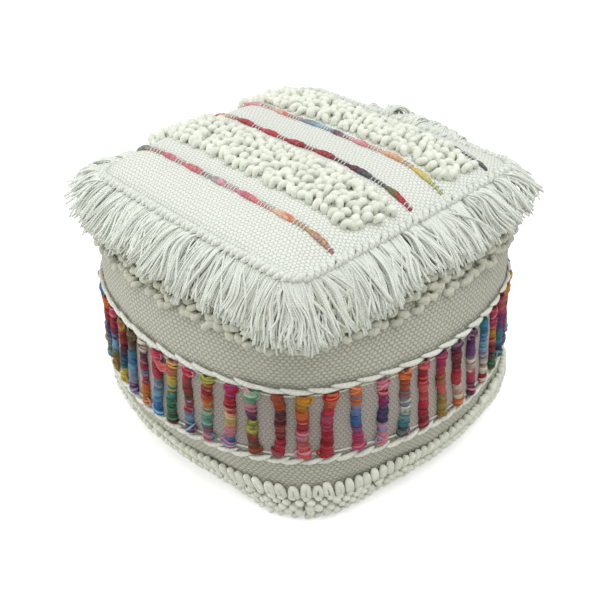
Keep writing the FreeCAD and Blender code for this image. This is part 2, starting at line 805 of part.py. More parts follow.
slider_bore = cross_cylinder("slider_bore", "pin_radius + pin_clearance", "slider_width")
slider_full = joined("slider_full", [slider_block] + slider_lugs)
slider_away = joined("slider_away", [slider_hall, slider_bore] + slider_tape_slots + slider_lanes)
node(boolean("Cut", "slider", slider_full, slider_away), "zip_slider")
node(cross_cylinder("pull_pin", "pin_radius", "lug_inner + lug_thickness"), "zip_pivot_pin")


# The pull: a round eye on the pin and a flat tab with a hole near its far end
def tab_outline(body):
    """Draw the tab: straight at the pin and round at the far end, with the hole in it."""
    half = size("pull_width") / 2
    far = -size("pull_length")
    sketch = flat_sketch(body, "pull_outline", "%s - pull_thickness / 2" % PIN_HEIGHT)
    bind(sketch, "AttachmentOffset.Base.x", PIN_PLACE)
    sketch.addGeometry(Part.LineSegment(Vector(0, -half, 0), Vector(0, half, 0)), False)
    sketch.addGeometry(Part.LineSegment(Vector(0, half, 0), Vector(far, half, 0)), False)
    far_end = Part.ArcOfCircle(Part.Circle(Vector(far, 0, 0), up, half), math.pi / 2, 3 * math.pi / 2)
    sketch.addGeometry(far_end, False)
    sketch.addGeometry(Part.LineSegment(Vector(far, -half, 0), Vector(0, -half, 0)), False)
    sketch.addGeometry(Part.Circle(Vector(far, 0, 0), up, size("pull_hole")), False)
    for kind, *where in (
        ("Coincident", 0, 2, 1, 1),
        ("Tangent", 1, 2, 2, 1),
        ("Tangent", 2, 2, 3, 1),
        ("Coincident", 3, 2, 0, 1),
        ("Vertical", 0),
        ("PointOnObject", 0, 1, -2),
        ("PointOnObject", 2, 3, -1),
        ("Coincident", 4, 3, 2, 3),
    ):
        sketch.addConstraint(Sketcher.Constraint(kind, *where))
    radius = sketch.addConstraint(Sketcher.Constraint("Radius", 2, half))
    bind(sketch, "Constraints[%d]" % radius, "pull_width / 2")
    length = sketch.addConstraint(Sketcher.Constraint("DistanceX", 2, 3, -1, 1, -far))
    bind(sketch, "Constraints[%d]" % length, "pull_length")
    hole = sketch.addConstraint(Sketcher.Constraint("Radius", 4, size("pull_hole")))
    bind(sketch, "Constraints[%d]" % hole, "pull_hole")
    return sketch


pull_body = doc.addObject("PartDesign::Body", "pull_body")
pad(pull_body, "pull_tab", tab_outline(pull_body), "pull_thickness")
pull_barrel = cross_cylinder("pull_barrel", "eye_radius", "pull_width / 2")
pull_eye = cross_cylinder("pull_eye", "pin_radius + pin_clearance", "slider_width")
pull_full = boolean("Fuse", "pull_full", pull_body, pull_barrel)
node(boolean("Cut", "pull", pull_full, pull_eye), "zip_pull")

# Check every object, then write each sub-part
doc.recompute()
for thing in doc.Objects:
    if "Invalid" in thing.State or "Error" in thing.State:
        raise RuntimeError("%s did not build" % thing.Label)
os.makedirs("parts", exist_ok=True)
for thing in nodes:
    if thing.Shape.isNull() or not thing.Shape.isValid() or not thing.Shape.Solids:
        raise RuntimeError("%s has no sound shape" % thing.Label)
for thing in nodes:
    thing.Shape.exportStep("parts/%s.step" % thing.Label)
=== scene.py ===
"""Wool pouf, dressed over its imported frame.

A square floor cushion in undyed wool. Its crowned top carries four space-dyed weft stripes and
two bands of looped pile, a twisted heading with a thick fringe runs round the edge, and the
swelling wall carries loops, two rows of chain stitch and a row of yarn-wrapped bars.
"""

import math

import bpy
import numpy as np
from bpy.props import FloatProperty, FloatVectorProperty, IntProperty, PointerProperty
from mathutils import Matrix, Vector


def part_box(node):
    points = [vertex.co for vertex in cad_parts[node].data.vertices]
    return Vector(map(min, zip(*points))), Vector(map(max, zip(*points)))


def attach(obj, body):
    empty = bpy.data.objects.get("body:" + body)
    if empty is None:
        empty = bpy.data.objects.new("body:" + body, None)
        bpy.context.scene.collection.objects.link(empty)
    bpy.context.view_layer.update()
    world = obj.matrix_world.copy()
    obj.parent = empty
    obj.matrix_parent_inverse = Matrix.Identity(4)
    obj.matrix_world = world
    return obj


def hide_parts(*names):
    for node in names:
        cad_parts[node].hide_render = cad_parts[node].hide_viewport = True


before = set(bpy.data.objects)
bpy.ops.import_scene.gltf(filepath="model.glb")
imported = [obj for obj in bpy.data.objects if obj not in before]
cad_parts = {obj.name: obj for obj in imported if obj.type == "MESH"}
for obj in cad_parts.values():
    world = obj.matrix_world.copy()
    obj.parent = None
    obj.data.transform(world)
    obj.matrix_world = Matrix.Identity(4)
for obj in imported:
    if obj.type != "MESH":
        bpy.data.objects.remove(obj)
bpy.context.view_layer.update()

bl_info = {
    "name": "Wool pouf",
    "version": (1, 0, 0),
    "blender": (4, 5, 0),
    "location": "3D View > Sidebar > Pouf",
    "description": "Dresses the pouf's frame with cloth, loops, fringe, stitching and yarn",
    "category": "Object",
}

MM = 0.001
FULL_TURN = 2 * math.pi
# Size of the clumps of loose fibre on wool, in mm: drawn coarser than real, so that they show.
FIBRE = 1.6

# The wall's shape: height, half width, corner radius and side bow, in mm.
WALL_STATIONS = np.array([
    (0, 216, 80, 3),
    (30, 240, 105, 10.5),
    (106, 272, 150, 27),
    (216, 264, 140, 23),
    (305, 232, 80, 11),
    (360, 198, 25, 3),
], float)
EDGE_HEIGHT = 360.0
EDGE_HALF = 195.0
EDGE_BOW = 3.0
CROWN_RISE = 31.0
CROWN_POWER = 4.5
UPPER_CHAIN = 216.0
LOWER_CHAIN = 106.0
BAR_PINCH = 3.0
# A wrapped bar's depth over its width, the bars on a side, and how far a bar's ends stay from the
# lower and the upper chain.
BAR_FLAT, BAR_COUNT = 0.74, 14
BAR_CLEAR = (9.0, 7.0)
# Shares of the way round the wall, from the middle of the right side towards the back.
SIDE_SHARES = {"right": 0.0, "back": 0.25, "left": 0.5, "front": 0.75}
FRONT_CORNER, LEFT_CORNER, RIGHT_CORNER = 0.875, 0.625, 0.125
MEAN_GIRTH = 1800.0
# The filling has settled: the top leans, falling towards the left corner.
SETTLE_LEAN = 0.022
SETTLE_FROM, SETTLE_TO = 190.0, 350.0
# Its belly has moved a little to the left as well, in mm along X and Y.
SETTLE_SHIFT = (-2.2, -2.4)
# The right of its foot has been pushed the other way.
FOOT_SHIFT = (5.0, 5.4)
# The filling bulges at the left of the top: how far out and up, in mm, and how much squarer.
LEFT_OUT, LEFT_UP, LEFT_SQUARE = 12.0, 2.0, 4.0
# The foot of the wall bulges between its corners, in mm.
FOOT_EASE = 6.0
# Heights where the bulge and the shifts come in and go out: where each begins, and over how much.
EASE_ZONE = ((0, 14), (25, 75))
BELLY_ZONE = ((0, 60), (230, 100))
FOOT_ZONE = ((0, 12), (35, 60))
# Middle and width of each loop band on the top, and the middle of each stripe, along Y.
TOP_BANDS = {"front": (-55.0, 78.0), "back": (107.0, 65.0)}
BAND_ENDS = (-214.0, 181.0)
# Spacing of the rows of loops in those bands.
LOOP_ROW = 14.0
STRIPE_PLACES = (-129.0, 4.0, 61.0, 150.0)
STRIPE_WEIGHTS = (1.15, 1.2, 1.1, 0.7)
# How much undyed fibre shows in each stripe.
STRIPE_FADE = (0.85, 0.35, 0.8, 0.6)

# Rows of loops under the fringe: the height and droop of each in mm, and the loops in a row.
SHOULDER_ROWS = ((338.0, 3.0), (326.5, 4.0), (315.0, 5.0), (303.5, 6.0), (292.0, 7.0), (280.5, 7.5))
SHOULDER_COUNT = 118
# Painted shade: the loops under the fringe are coloured darker and greyer, for the fringe's shadow
# on them.
SHOULDER_PAINTED_SHADE = (0.73, 0.72, 0.67)
# Loops in a row of the band at the floor, and its rows of beads as shares of the band's height.
FLOOR_COUNT = 156
FLOOR_BEADS = (0.98, 0.8, 0.62, 0.44, 0.26)
# Where that band is fullest: the middle and spread of each place, in shares of the way round.
FLOOR_SWELLS = ((FRONT_CORNER, 0.045), (0.71, 0.085), (0.0, 0.085))
# Where the fringe hangs in its own way, given alike: at the front, left and right corners, behind
# the right corner and beyond the left one.
FRINGE_PLACES = ((FRONT_CORNER, 0.055), (LEFT_CORNER, 0.04), (RIGHT_CORNER, 0.045),
                 (0.165, 0.03), (0.595, 0.022))
# The stretch of the far edge where it is raised, and how softly such a stretch begins and ends.
RAISED_FROM, RAISED_TO, SOFT_END = 0.15, 0.31, 0.02
# Ends of the stripes along X, and the pitch of the warp threads that tie them down.
STRIPE_END, TIE_PITCH = 187.0, 5.6
# Length of the heading round the top edge.
HEADING_LENGTH = 1575.0

# Thickness of the woven wool, and of the base canvas, which lies as far over its solid's bottom.
CLOTH, CANVAS = 2.4, 0.9
# The slot for the zip in the base: half its length and width, its hem's width and height.
SLOT_LONG, SLOT_WIDE, HEM_WIDE, HEM_HIGH = 172.0, 16.0, 8.0, 7.4
# How far the inner cushion is hollowed over the zip.
HOLLOW = 13.0

# Dyes of the hand-dyed yarn, by the names a dyer would use.
DYES = {
    "crimson": "#B4152E", "red": "#C52035", "deep_red": "#86101F", "maroon": "#5E1526",
    "rose": "#CB4468", "pink": "#E38A9A", "coral": "#DF5B57", "orange": "#DE6F22",
    "rust": "#A8431F", "amber": "#DB982C", "ochre": "#BC8A30", "mustard": "#B99E38",
    "yellow": "#E0C74E", "lime": "#B2B73E", "olive": "#716D2F", "green": "#2F8055",
    "mint": "#93C6A6", "teal": "#2F8E95", "sky": "#7AAECF", "blue": "#2F78BC",
    "navy": "#283162", "lavender": "#9E97BC", "plum": "#612B54", "purple": "#6C307C",
    "magenta": "#B62C70", "brown": "#6D3B23", "cream": "#E8E1CB", "peach": "#ECB691",
    "slate": "#7B8794", "grey": "#8E9091", "khaki": "#9E9150", "charcoal": "#4A4C52",
}
# Dyes of each bar from the top down, from left to right along the side.
BAR_DYES = {
    "front": (
        "coral red plum blue teal",
        "teal blue lavender rose amber",
        "orange crimson navy sky olive",
        "rose crimson plum sky olive amber",
        "mustard crimson maroon navy teal yellow",
        "olive maroon teal blue sky lavender plum",
        "cream maroon crimson lavender crimson orange ochre",
        "rose crimson slate sky blue",
        "coral yellow teal green maroon",
        "rose red brown olive crimson sky plum",
        "lime crimson orange mint teal rose",
        "magenta crimson red peach lime pink blue",
        "mint pink plum lime rust brown",
        "rust brown maroon rust deep_red red",
    ),
    "right": (
        "amber orange red pink coral",
        "orange red rose crimson red",
        "orange lavender blue magenta rose",
        "pink crimson purple navy lavender pink",
        "orange rust slate cream teal maroon",
        "crimson coral red deep_red",
        "magenta crimson ochre coral khaki ochre",
        "plum deep_red crimson red cream orange",
        "plum purple cream rose plum",
        "teal blue sky lavender cream crimson",
        "crimson rose amber red maroon green",
        "coral purple teal navy",
        "amber rose crimson blue",
        "yellow coral plum sky",
    ),
}
# Two bars share one length of yarn, looped from the top of one to the next.
LINKED_SIDE, LINKED_BAR, LINK_DYE = "front", 7, "coral"
# The bars aren't evenly spaced: how far each strays, in shares of their spacing, by its place.
BAR_DRIFT = ((0.62, 0.66, 0.72, 0.76, 0.80, 0.90, 0.93, 1.0), (0, 0.2, 0.2, 0, -0.21, -0.21, 0, 0))
# Dyes along each stripe, from the left end to the right.
STRIPE_DYES = (
    "green crimson rose coral red grey pink rose coral peach orange ochre rust",
    "coral peach crimson rose red crimson deep_red crimson maroon maroon charcoal olive crimson",
    "coral pink peach coral slate sky plum pink coral peach amber yellow lime",
    "slate charcoal grey charcoal charcoal slate charcoal grey charcoal charcoal charcoal",
)


def linear(colour):
    """Turn an sRGB hex value into linear red, green and blue."""
    parts = np.array([int(colour[i:i + 2], 16) / 255 for i in (1, 3, 5)])
    return np.where(parts <= 0.04045, parts / 12.92, ((parts + 0.055) / 1.055) ** 2.4)


def length(name, description, default, **limits):
    """Settings of a length in the sidebar, given in mm."""
    return dict(name=name, description=description, default=default * MM, min=0.1 * MM,
                unit="LENGTH", subtype="DISTANCE", precision=4, **limits)


def colour(name, description, default):
    """Settings of a colour in the sidebar, given as an sRGB hex value."""
    return dict(name=name, description=description, default=tuple(linear(default)), size=3,
                min=0.0, max=1.0, subtype="COLOR")


class PoufSizes(bpy.types.PropertyGroup):
    """Sizes of the pouf's yarns and stitches."""

    weft_pitch: FloatProperty(**length("Weft pitch", "Height of one row of the weave", 4.6))
    warp_pitch: FloatProperty(**length("Warp pitch", "Width of one grain of the weave", 7.8))
    roving: FloatProperty(**length("Roving", "Thickness of the roving in the loops", 11.6))
    loop_height: FloatProperty(**length("Loop height", "Rise of a loop's middle line", 9.4))
    fringe_drop: FloatProperty(**length("Fringe drop", "How far the fringe hangs down", 58.0))
    fringe_reach: FloatProperty(**length("Fringe reach", "How far the fringe stands out", 55.0))
    fringe_yarn: FloatProperty(**length("Fringe yarn", "Thickness of a fringe strand", 2.7))
    fringe_strands: IntProperty(
        name="Strands in a tassel", description="Strands knotted into each fringe tassel",
        default=58, min=1, max=90)
    fringe_tassels: IntProperty(
        name="Tassels on a side", description="Tassels knotted along each side of the top",
        default=17, min=1, max=90)
    knot_pitch: FloatProperty(**length("Knot pitch", "Length of a knot of the heading", 11.0))
    upper_stitch: FloatProperty(**length("Upper stitch", "Spacing of the upper chain", 30.0))
    lower_stitch: FloatProperty(**length("Lower stitch", "Spacing of the lower chain", 22.0))
    chain_yarn: FloatProperty(**length("Chain yarn", "Thickness of a chain stitch", 7.2))
    bar_width: FloatProperty(**length("Bar width", "Thickness of a wrapped bar", 15.0))
    wrap_pitch: FloatProperty(**length("Wrap pitch", "Spacing of a bar's turns of yarn", 2.9))


class PoufColours(bpy.types.PropertyGroup):
    """Colours of the pouf's undyed yarns, cloths and metal."""

    ivory: FloatVectorProperty(**colour("Ivory weave", "Woven wool of the cover", "#E6ECE5"))
    # Painted shade: the wall is the same ivory weave as the top, coloured darker and greyer for the
    # duller light that reaches it.
    wall: FloatVectorProperty(**colour("Wall weave", "Woven wool of the wall", "#C5C6B7"))
    # Painted shade for the shadow in the gaps between the woven yarns.
    shade: FloatVectorProperty(**colour("Weave shade", "Between the woven yarns", "#B5B5A6"))
    # Greyer and pinker than the wall weave, and darker still as painted shade for the shadow under
    # the belly and between the bars.
    ground: FloatVectorProperty(**colour("Bar ground", "Cloth behind the bars", "#B3ADA5"))
    roving: FloatVectorProperty(**colour("Roving", "Looped pile", "#EBEEE1"))
    fringe: FloatVectorProperty(**colour("Fringe", "Fringe and its heading", "#F0F5EB"))
    chain: FloatVectorProperty(**colour("Chain", "Chain stitches", "#E8EAE0"))
    canvas: FloatVectorProperty(**colour("Canvas", "Base of the pouf", "#CFC6B2"))
    cotton: FloatVectorProperty(**colour("Cotton", "Bag of the filling", "#E3DED0"))
    wadding: FloatVectorProperty(**colour("Wadding", "Filling", "#EFEDE6"))
    tape: FloatVectorProperty(**colour("Zip tape", "Tape of the zip", "#BDB39D"))
    teeth: FloatVectorProperty(**colour("Zip teeth", "Teeth of the zip", "#A79C84"))
    brass: FloatVectorProperty(**colour("Zip brass", "Slider, pull and stops", "#B8A06A"))


def smooth_step(x):
    """Rise smoothly from 0 to 1 while x does."""
    x = np.clip(x, 0.0, 1.0)
    return x * x * (3 - 2 * x)


def within(x, zone):
    """Rise smoothly from 0 to 1 where a zone begins, and fall back to 0 where it ends."""
    (start, rise), (end, fall) = zone
    return smooth_step((x - start) / rise) * (1 - smooth_step((x - end) / fall))


def unit(v):
    """Vectors of length 1."""
    return v / np.maximum(np.linalg.norm(v, axis=-1, keepdims=True), 1e-9)


def xyz(x, y, z):
    """Join coordinates into points."""
    return np.stack(np.broadcast_arrays(x, y, z), axis=-1).astype(float)


def plan_at(z):
    """Half width, corner radius and side bow of the wall at heights z, in mm."""
    rows = WALL_STATIONS
    low = np.vstack([rows[:1], rows[:-1]])
    high = np.vstack([rows[1:], rows[-1:]])
    slopes = (high[:, 1:] - low[:, 1:]) / (high[:, :1] - low[:, :1])
    z = np.clip(z, rows[0, 0], rows[-1, 0])
    i = np.clip(np.searchsorted(rows[:, 0], z) - 1, 0, len(rows) - 2)
    span = (rows[i + 1, 0] - rows[i, 0])[..., None]
    t = (z - rows[i, 0])[..., None] / span
    value = (2 * t**3 - 3 * t**2 + 1) * rows[i, 1:] + (3 * t**2 - 2 * t**3) * rows[i + 1, 1:]
    value += span * ((t**3 - 2 * t**2 + t) * slopes[i] + (t**3 - t**2) * slopes[i + 1])
    return np.moveaxis(value, -1, 0)


def ring_point(share, z):
    """Points of the wall's outline at shares of the way round, and the level way out of it."""
    half, corner, bow = plan_at(z)
    inner = half - bow - corner
    centre = ((half - corner) ** 2 - 2 * inner**2) / (2 * bow)
    radius = half - centre
    meet = np.arctan2(inner, inner - centre)
    side, bend = radius * meet, corner * (math.pi / 2 - 2 * meet)
    way = share * 4
    quarter = np.floor(way)
    along = (way - quarter) * (2 * side + bend)
    first, last = along <= side, along >= side + bend
    angle = np.where(first, along / radius, meet + (along - side) / corner)
    angle = np.where(last, math.pi / 2 - (2 * side + bend - along) / radius, angle)
    reach = np.where(first | last, radius, corner)
    x = np.where(first, centre, np.where(last, 0, inner)) + reach * np.cos(angle)
    y = np.where(last, centre, np.where(first, 0, inner)) + reach * np.sin(angle)
    turn = quarter * math.pi / 2
    c, s = np.cos(turn), np.sin(turn)
    out = xyz(np.cos(angle + turn), np.sin(angle + turn), 0)
    return xyz(x * c - y * s, x * s + y * c, z), out


def on_wall(share, z, out=0.0):
    """Points on the wall, or off it by a distance, with their normals and their way round.

    The bars draw the cloth in a little between the two chain rows.
    """
    share, z, out = np.broadcast_arrays(np.asarray(share, float), np.asarray(z, float), out)
    waist = np.clip((z - LOWER_CHAIN) / (UPPER_CHAIN - LOWER_CHAIN), 0, 1)
    out = out - BAR_PINCH * np.sin(math.pi * waist) ** 2
    point, level = ring_point(share, z)
    ease = FOOT_EASE * (0.5 + 0.5 * np.cos(4 * FULL_TURN * share)) * within(z, EASE_ZONE)
    point = point + level * ease[..., None]
    step = 1.0
    above, below = ring_point(share, z + step)[0], ring_point(share, z - step)[0]
    slope = np.sum((above - below) * level, axis=-1) / (2 * step)
    inside = (z > step) & (z < EDGE_HEIGHT - step)
    slope = np.where(inside, slope, slope * 2)
    normal = unit(xyz(level[..., 0], level[..., 1], -slope))
    around = xyz(-level[..., 1], level[..., 0], 0)
    return point + normal * out[..., None], normal, around


def crown(x, y):
    """Height of the top over the floor, with the little hills that the filling leaves."""
    bulge = smooth_step((-x - 90) / 70) * (1 - 0.9 * smooth_step((y - 30) / 70))
    a = np.clip(np.abs(x) / (EDGE_HALF + EDGE_BOW), 0, 1) ** (CROWN_POWER + LEFT_SQUARE * bulge)
    b = np.clip(np.abs(y) / (EDGE_HALF + EDGE_BOW), 0, 1) ** CROWN_POWER
    hills = 1.4 * np.sin(x / 47.0 + 0.6) * np.sin(y / 39.0 + 1.1) + 0.9 * np.sin((x + y) / 23.0)
    return EDGE_HEIGHT + (CROWN_RISE + LEFT_UP * bulge + hills) * (1 - a) * (1 - b)


def crown_normal(x, y):
    """The way up out of the top."""
    step = 2.0
    across = (crown(x + step, y) - crown(x - step, y)) / (2 * step)
    along = (crown(x, y + step) - crown(x, y - step)) / (2 * step)
    return unit(xyz(-across, -along, 1.0))


def settled(points):
    """Lean the top, and shift the belly, the foot and the left, as the filling has settled."""
    points = np.array(points, float)
    x, y, z = np.moveaxis(points, -1, 0)
    lean = smooth_step((z - SETTLE_FROM) / (SETTLE_TO - SETTLE_FROM))
    belly = within(z, BELLY_ZONE)
    z += SETTLE_LEAN * (x + y) * lean
    foot = within(z, FOOT_ZONE) * smooth_step((x + y + 250) / 300)
    x += SETTLE_SHIFT[0] * belly + FOOT_SHIFT[0] * foot
    y += SETTLE_SHIFT[1] * belly + FOOT_SHIFT[1] * foot
    left = smooth_step((-x - 110) / 80) * smooth_step((y + 225) / 70)
    x -= LEFT_OUT * left * smooth_step((z - 290) / 50)
    return points


def stretch(place, start, end):
    """How far inside a stretch of the edge a place lies, from 0 to 1."""
    return smooth_step((place - start) / SOFT_END) * smooth_step((end - place) / SOFT_END)


def far_side(share):
    """How far inside the back and left sides of the edge a place lies, from 0 to 1."""
    return stretch(np.asarray(share) % 1, RIGHT_CORNER, LEFT_CORNER)


def dyes_of(words):
    """The colours of dyes that are listed by name."""
    return np.array([linear(DYES[word]) for word in words.split()])


def dye_run(words, shares):
    """Colours along a space-dyed yarn: each dye for a stretch, bleeding into the next."""
    stops = dyes_of(words)
    place = np.clip(shares, 0, 1) * len(stops) - 0.5
    low = np.clip(np.floor(place), 0, len(stops) - 1).astype(int)
    high = np.clip(low + 1, 0, len(stops) - 1)
    bleed = smooth_step((place - low - 0.25) / 0.5)[..., None]
    return stops[low] * (1 - bleed) + stops[high] * bleed


class Yarns:
    """Lengths of yarn gathered into one mesh, each a tube along its own path."""

    def __init__(self):
        self.points, self.dyes, self.twists = [], [], []
        self.quads, self.caps = [], []
        self.count = 0

    def lay(self, paths, radius, away, dye, sides=6, flat=1.0, closed=False):
        """Add a tube along a path of points, or tubes along paths of as many points each, in mm.

        away is the way that the yarn's flat side faces, flat its thickness that way over its
        width, and dye its colour: one, or one for each tube, or for each point of a path.
        """
        paths, dye = np.asarray(paths, float), np.asarray(dye, float)
        if paths.ndim == 2:
            paths, dye = paths[None], np.atleast_2d(dye)[None]
        tubes, steps = paths.shape[:2]
        if closed:
            along = unit(np.roll(paths, -1, axis=1) - np.roll(paths, 1, axis=1))
        else:
            along = unit(np.gradient(paths, axis=1))
        away = np.broadcast_to(away, paths.shape)
        wide = unit(np.cross(along, away))
        tall = np.cross(wide, along)
        radius = np.broadcast_to(radius, (tubes, steps))[..., None, None]
        angle = np.arange(sides) / sides * FULL_TURN
        c, s = np.cos(angle)[:, None], np.sin(angle)[:, None]
        ring = c * wide[:, :, None] + flat * s * tall[:, :, None]
        self.points.append((paths[:, :, None] + radius * ring).reshape(-1, 3))
        stride = np.diff(paths, axis=1, prepend=paths[:, :1])
        gone = np.cumsum(np.linalg.norm(stride, axis=-1), axis=1)
        self.twists.append(xyz(gone[..., None], c[:, 0], s[:, 0]).reshape(-1, 3))
        dye = dye if dye.ndim == 3 else dye.reshape((-1, 1, 3))
        dye = np.broadcast_to(dye, (tubes, steps, 3))
        self.dyes.append(np.repeat(dye.reshape(-1, 3), sides, axis=0))
        tube = np.arange(tubes)[:, None, None] * steps
        step = np.arange(steps if closed else steps - 1)[None, :, None]
        side = np.arange(sides)[None, None, :]
        here, there = tube + step, tube + (step + 1) % steps
        near, far = self.count + here * sides, self.count + there * sides
        turn = (side + 1) % sides
        quads = np.stack([near + side, near + turn, far + turn, far + side], axis=-1)
        self.quads.append(quads.reshape(-1, 4))
        if not closed:
            first = self.count + tube[:, 0] * sides
            last = first + (steps - 1) * sides
            self.caps += [first + np.arange(sides)[::-1], last + np.arange(sides)]
        self.count += tubes * steps * sides

    def mesh(self, name):
        """Make the mesh, with each point's dye and its place along and round the yarn."""
        faces = self.quads + self.caps
        mesh = mesh_from(name, settled(np.concatenate(self.points)), faces)
        dyes = np.concatenate(self.dyes)
        dyes = np.column_stack([np.clip(dyes, 0, 1), np.ones(len(dyes))])
        layer = mesh.attributes.new("dye", "FLOAT_COLOR", "POINT")
        layer.data.foreach_set("color", dyes.astype(np.float32).ravel())
        layer = mesh.attributes.new("twist", "FLOAT_VECTOR", "POINT")
        layer.data.foreach_set("vector", np.concatenate(self.twists).astype(np.float32).ravel())
        return mesh

    def piece(self, name, finish, slot, node):
        """Put the yarns on the cover as one piece that stands for a node of the frame."""
        return piece(name, self.mesh(name), finish, slot, node)


def mesh_from(name, points, faces, cloth=None):
    """Make a smooth mesh from points in mm and arrays of faces, with a cloth map in mm."""
    mesh = bpy.data.meshes.new(name)
    mesh.vertices.add(len(points))
    mesh.vertices.foreach_set("co", (points * MM).astype(np.float32).ravel())
    corners = np.concatenate([f.ravel() for f in faces]).astype(np.int32)
    sizes = np.concatenate([np.full(len(f), f.shape[1]) for f in faces])
    mesh.loops.add(len(corners))
    mesh.loops.foreach_set("vertex_index", corners)
    mesh.polygons.add(len(sizes))
    starts = np.concatenate([[0], np.cumsum(sizes)[:-1]]).astype(np.int32)
    mesh.polygons.foreach_set("loop_start", starts)
    mesh.polygons.foreach_set("use_smooth", np.ones(len(sizes), bool))
    if cloth is not None:
        layer = mesh.uv_layers.new(name="cloth")
        layer.data.foreach_set("uv", np.asarray(cloth, np.float32).ravel())
    mesh.update(calc_edges=True)
    if mesh.validate():
        raise RuntimeError(name + " has faces that don't hold together")
    return mesh


def piece(name, mesh, finish, slot, *nodes):
    """Put a mesh on the cover as a piece that stands for these nodes of the frame."""
    made = bpy.data.objects.new(name, mesh)
    bpy.context.scene.collection.objects.link(made)
    mesh.materials.append(finish)
    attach(made, "cover")
    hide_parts(*nodes)
    return made


def thicken(made, thickness, offset=-1.0):
    """Give cloth its thickness, in mm: inwards, or to both sides with an offset of 0."""
    layer = made.modifiers.new("cloth thickness", "SOLIDIFY")
    layer.thickness, layer.offset = thickness * MM, offset


def tints(rng, base, count, spread=0.03):
    """Colours near a base colour, one for each of a count of yarns."""
    return np.asarray(base)[None] * (1 + spread * rng.standard_normal((count, 1)))


def add_node(tree, kind, inputs=(), **settings):
    """Add a shader node with its settings.

    Its inputs, by name or in order, are values to fill in, or nodes or sockets to link.
    """
    node = tree.nodes.new("ShaderNode" + kind)
    for key, value in settings.items():
        setattr(node, key, value)
    for key, value in inputs.items() if isinstance(inputs, dict) else enumerate(inputs):
        if isinstance(value, bpy.types.Node):
            value = value.outputs[0]
        if isinstance(value, bpy.types.NodeSocket):
            tree.links.new(value, node.inputs[key])
        else:
            node.inputs[key].default_value = value
    return node


def cleared(owner):
    """The node tree of a material or world, with nothing in it."""
    owner.use_nodes = True
    owner.node_tree.nodes.clear()
    return owner.node_tree


def new_finish(name):
    """Start a material, with its empty node tree."""
    finish = bpy.data.materials.new(name)
    return finish, cleared(finish)


def rgba(values):
    """A colour with full alpha."""
    return (*values, 1.0)


def woven_wool(name, yarn, between, warp, weft, gap):
    """Wool cloth in a coarse plain weave, undyed.

    Thick soft yarns show as plump grains, each row half a grain along from the next, with narrow
    gaps between them, and the wool has a dry, matt surface with a faint bloom. Each grain is
    painted darker down its swell into the gaps, whose colour is painted shade for the shadow
    between the yarns. gap is how far up its swell a grain reaches its full colour.
    """
    finish, tree = new_finish(name)
    place = add_node(tree, "UVMap", uv_map="cloth")
    drift = add_node(tree, "TexNoise", {"Vector": place, "Scale": 1 / 14.0})
    wave = add_node(tree, "VectorMath", (drift.outputs["Color"], (6.0, 6.0, 0.0)),
                    operation="MULTIPLY")
    spot = add_node(tree, "VectorMath", (place, wave), operation="ADD")
    spot = add_node(tree, "SeparateXYZ", (spot,))
    across, up = (add_node(tree, "Math", (spot.outputs[axis], turn), operation="MULTIPLY")
                  for axis, turn in ((0, FULL_TURN / warp), (1, math.pi / weft)))
    across, up = (add_node(tree, "Math", (each,), operation="COSINE") for each in (across, up))
    both = add_node(tree, "Math", (across, up))
    grain = add_node(tree, "Math", (both, up), operation="MULTIPLY")
    plump = add_node(tree, "MapRange", {"Value": grain, "From Min": -0.25, "From Max": gap},
                     interpolation_type="SMOOTHSTEP")
    # Painted shade: the grains darken down their swell into the gap colour, for the shadow between
    # the yarns.
    tone = add_node(tree, "Mix", {0: plump, 6: rgba(between), 7: rgba(yarn)}, data_type="RGBA")
    fibre = add_node(tree, "TexNoise", {"Vector": place, "Scale": 1 / FIBRE, "Detail": 3.0})
    mottle = add_node(tree, "MapRange", {
        "Value": fibre, "From Min": 0.3, "From Max": 0.7, "To Min": 0.88, "To Max": 1.05})
    shade = add_node(tree, "VectorMath", {0: tone.outputs[2], "Scale": mottle}, operation="SCALE")
    height = add_node(tree, "Math", (fibre, 0.5, plump), operation="MULTIPLY_ADD")
    bump = add_node(tree, "Bump", {"Height": height, "Strength": 0.7, "Distance": 0.8 * MM})
    wool = add_node(tree, "BsdfPrincipled", {
        "Base Color": shade, "Roughness": 0.95, "Normal": bump, "Specular IOR Level": 0.2,
        "Sheen Weight": 0.15, "Sheen Roughness": 0.6})
    add_node(tree, "OutputMaterial", (wool,))
    return finish


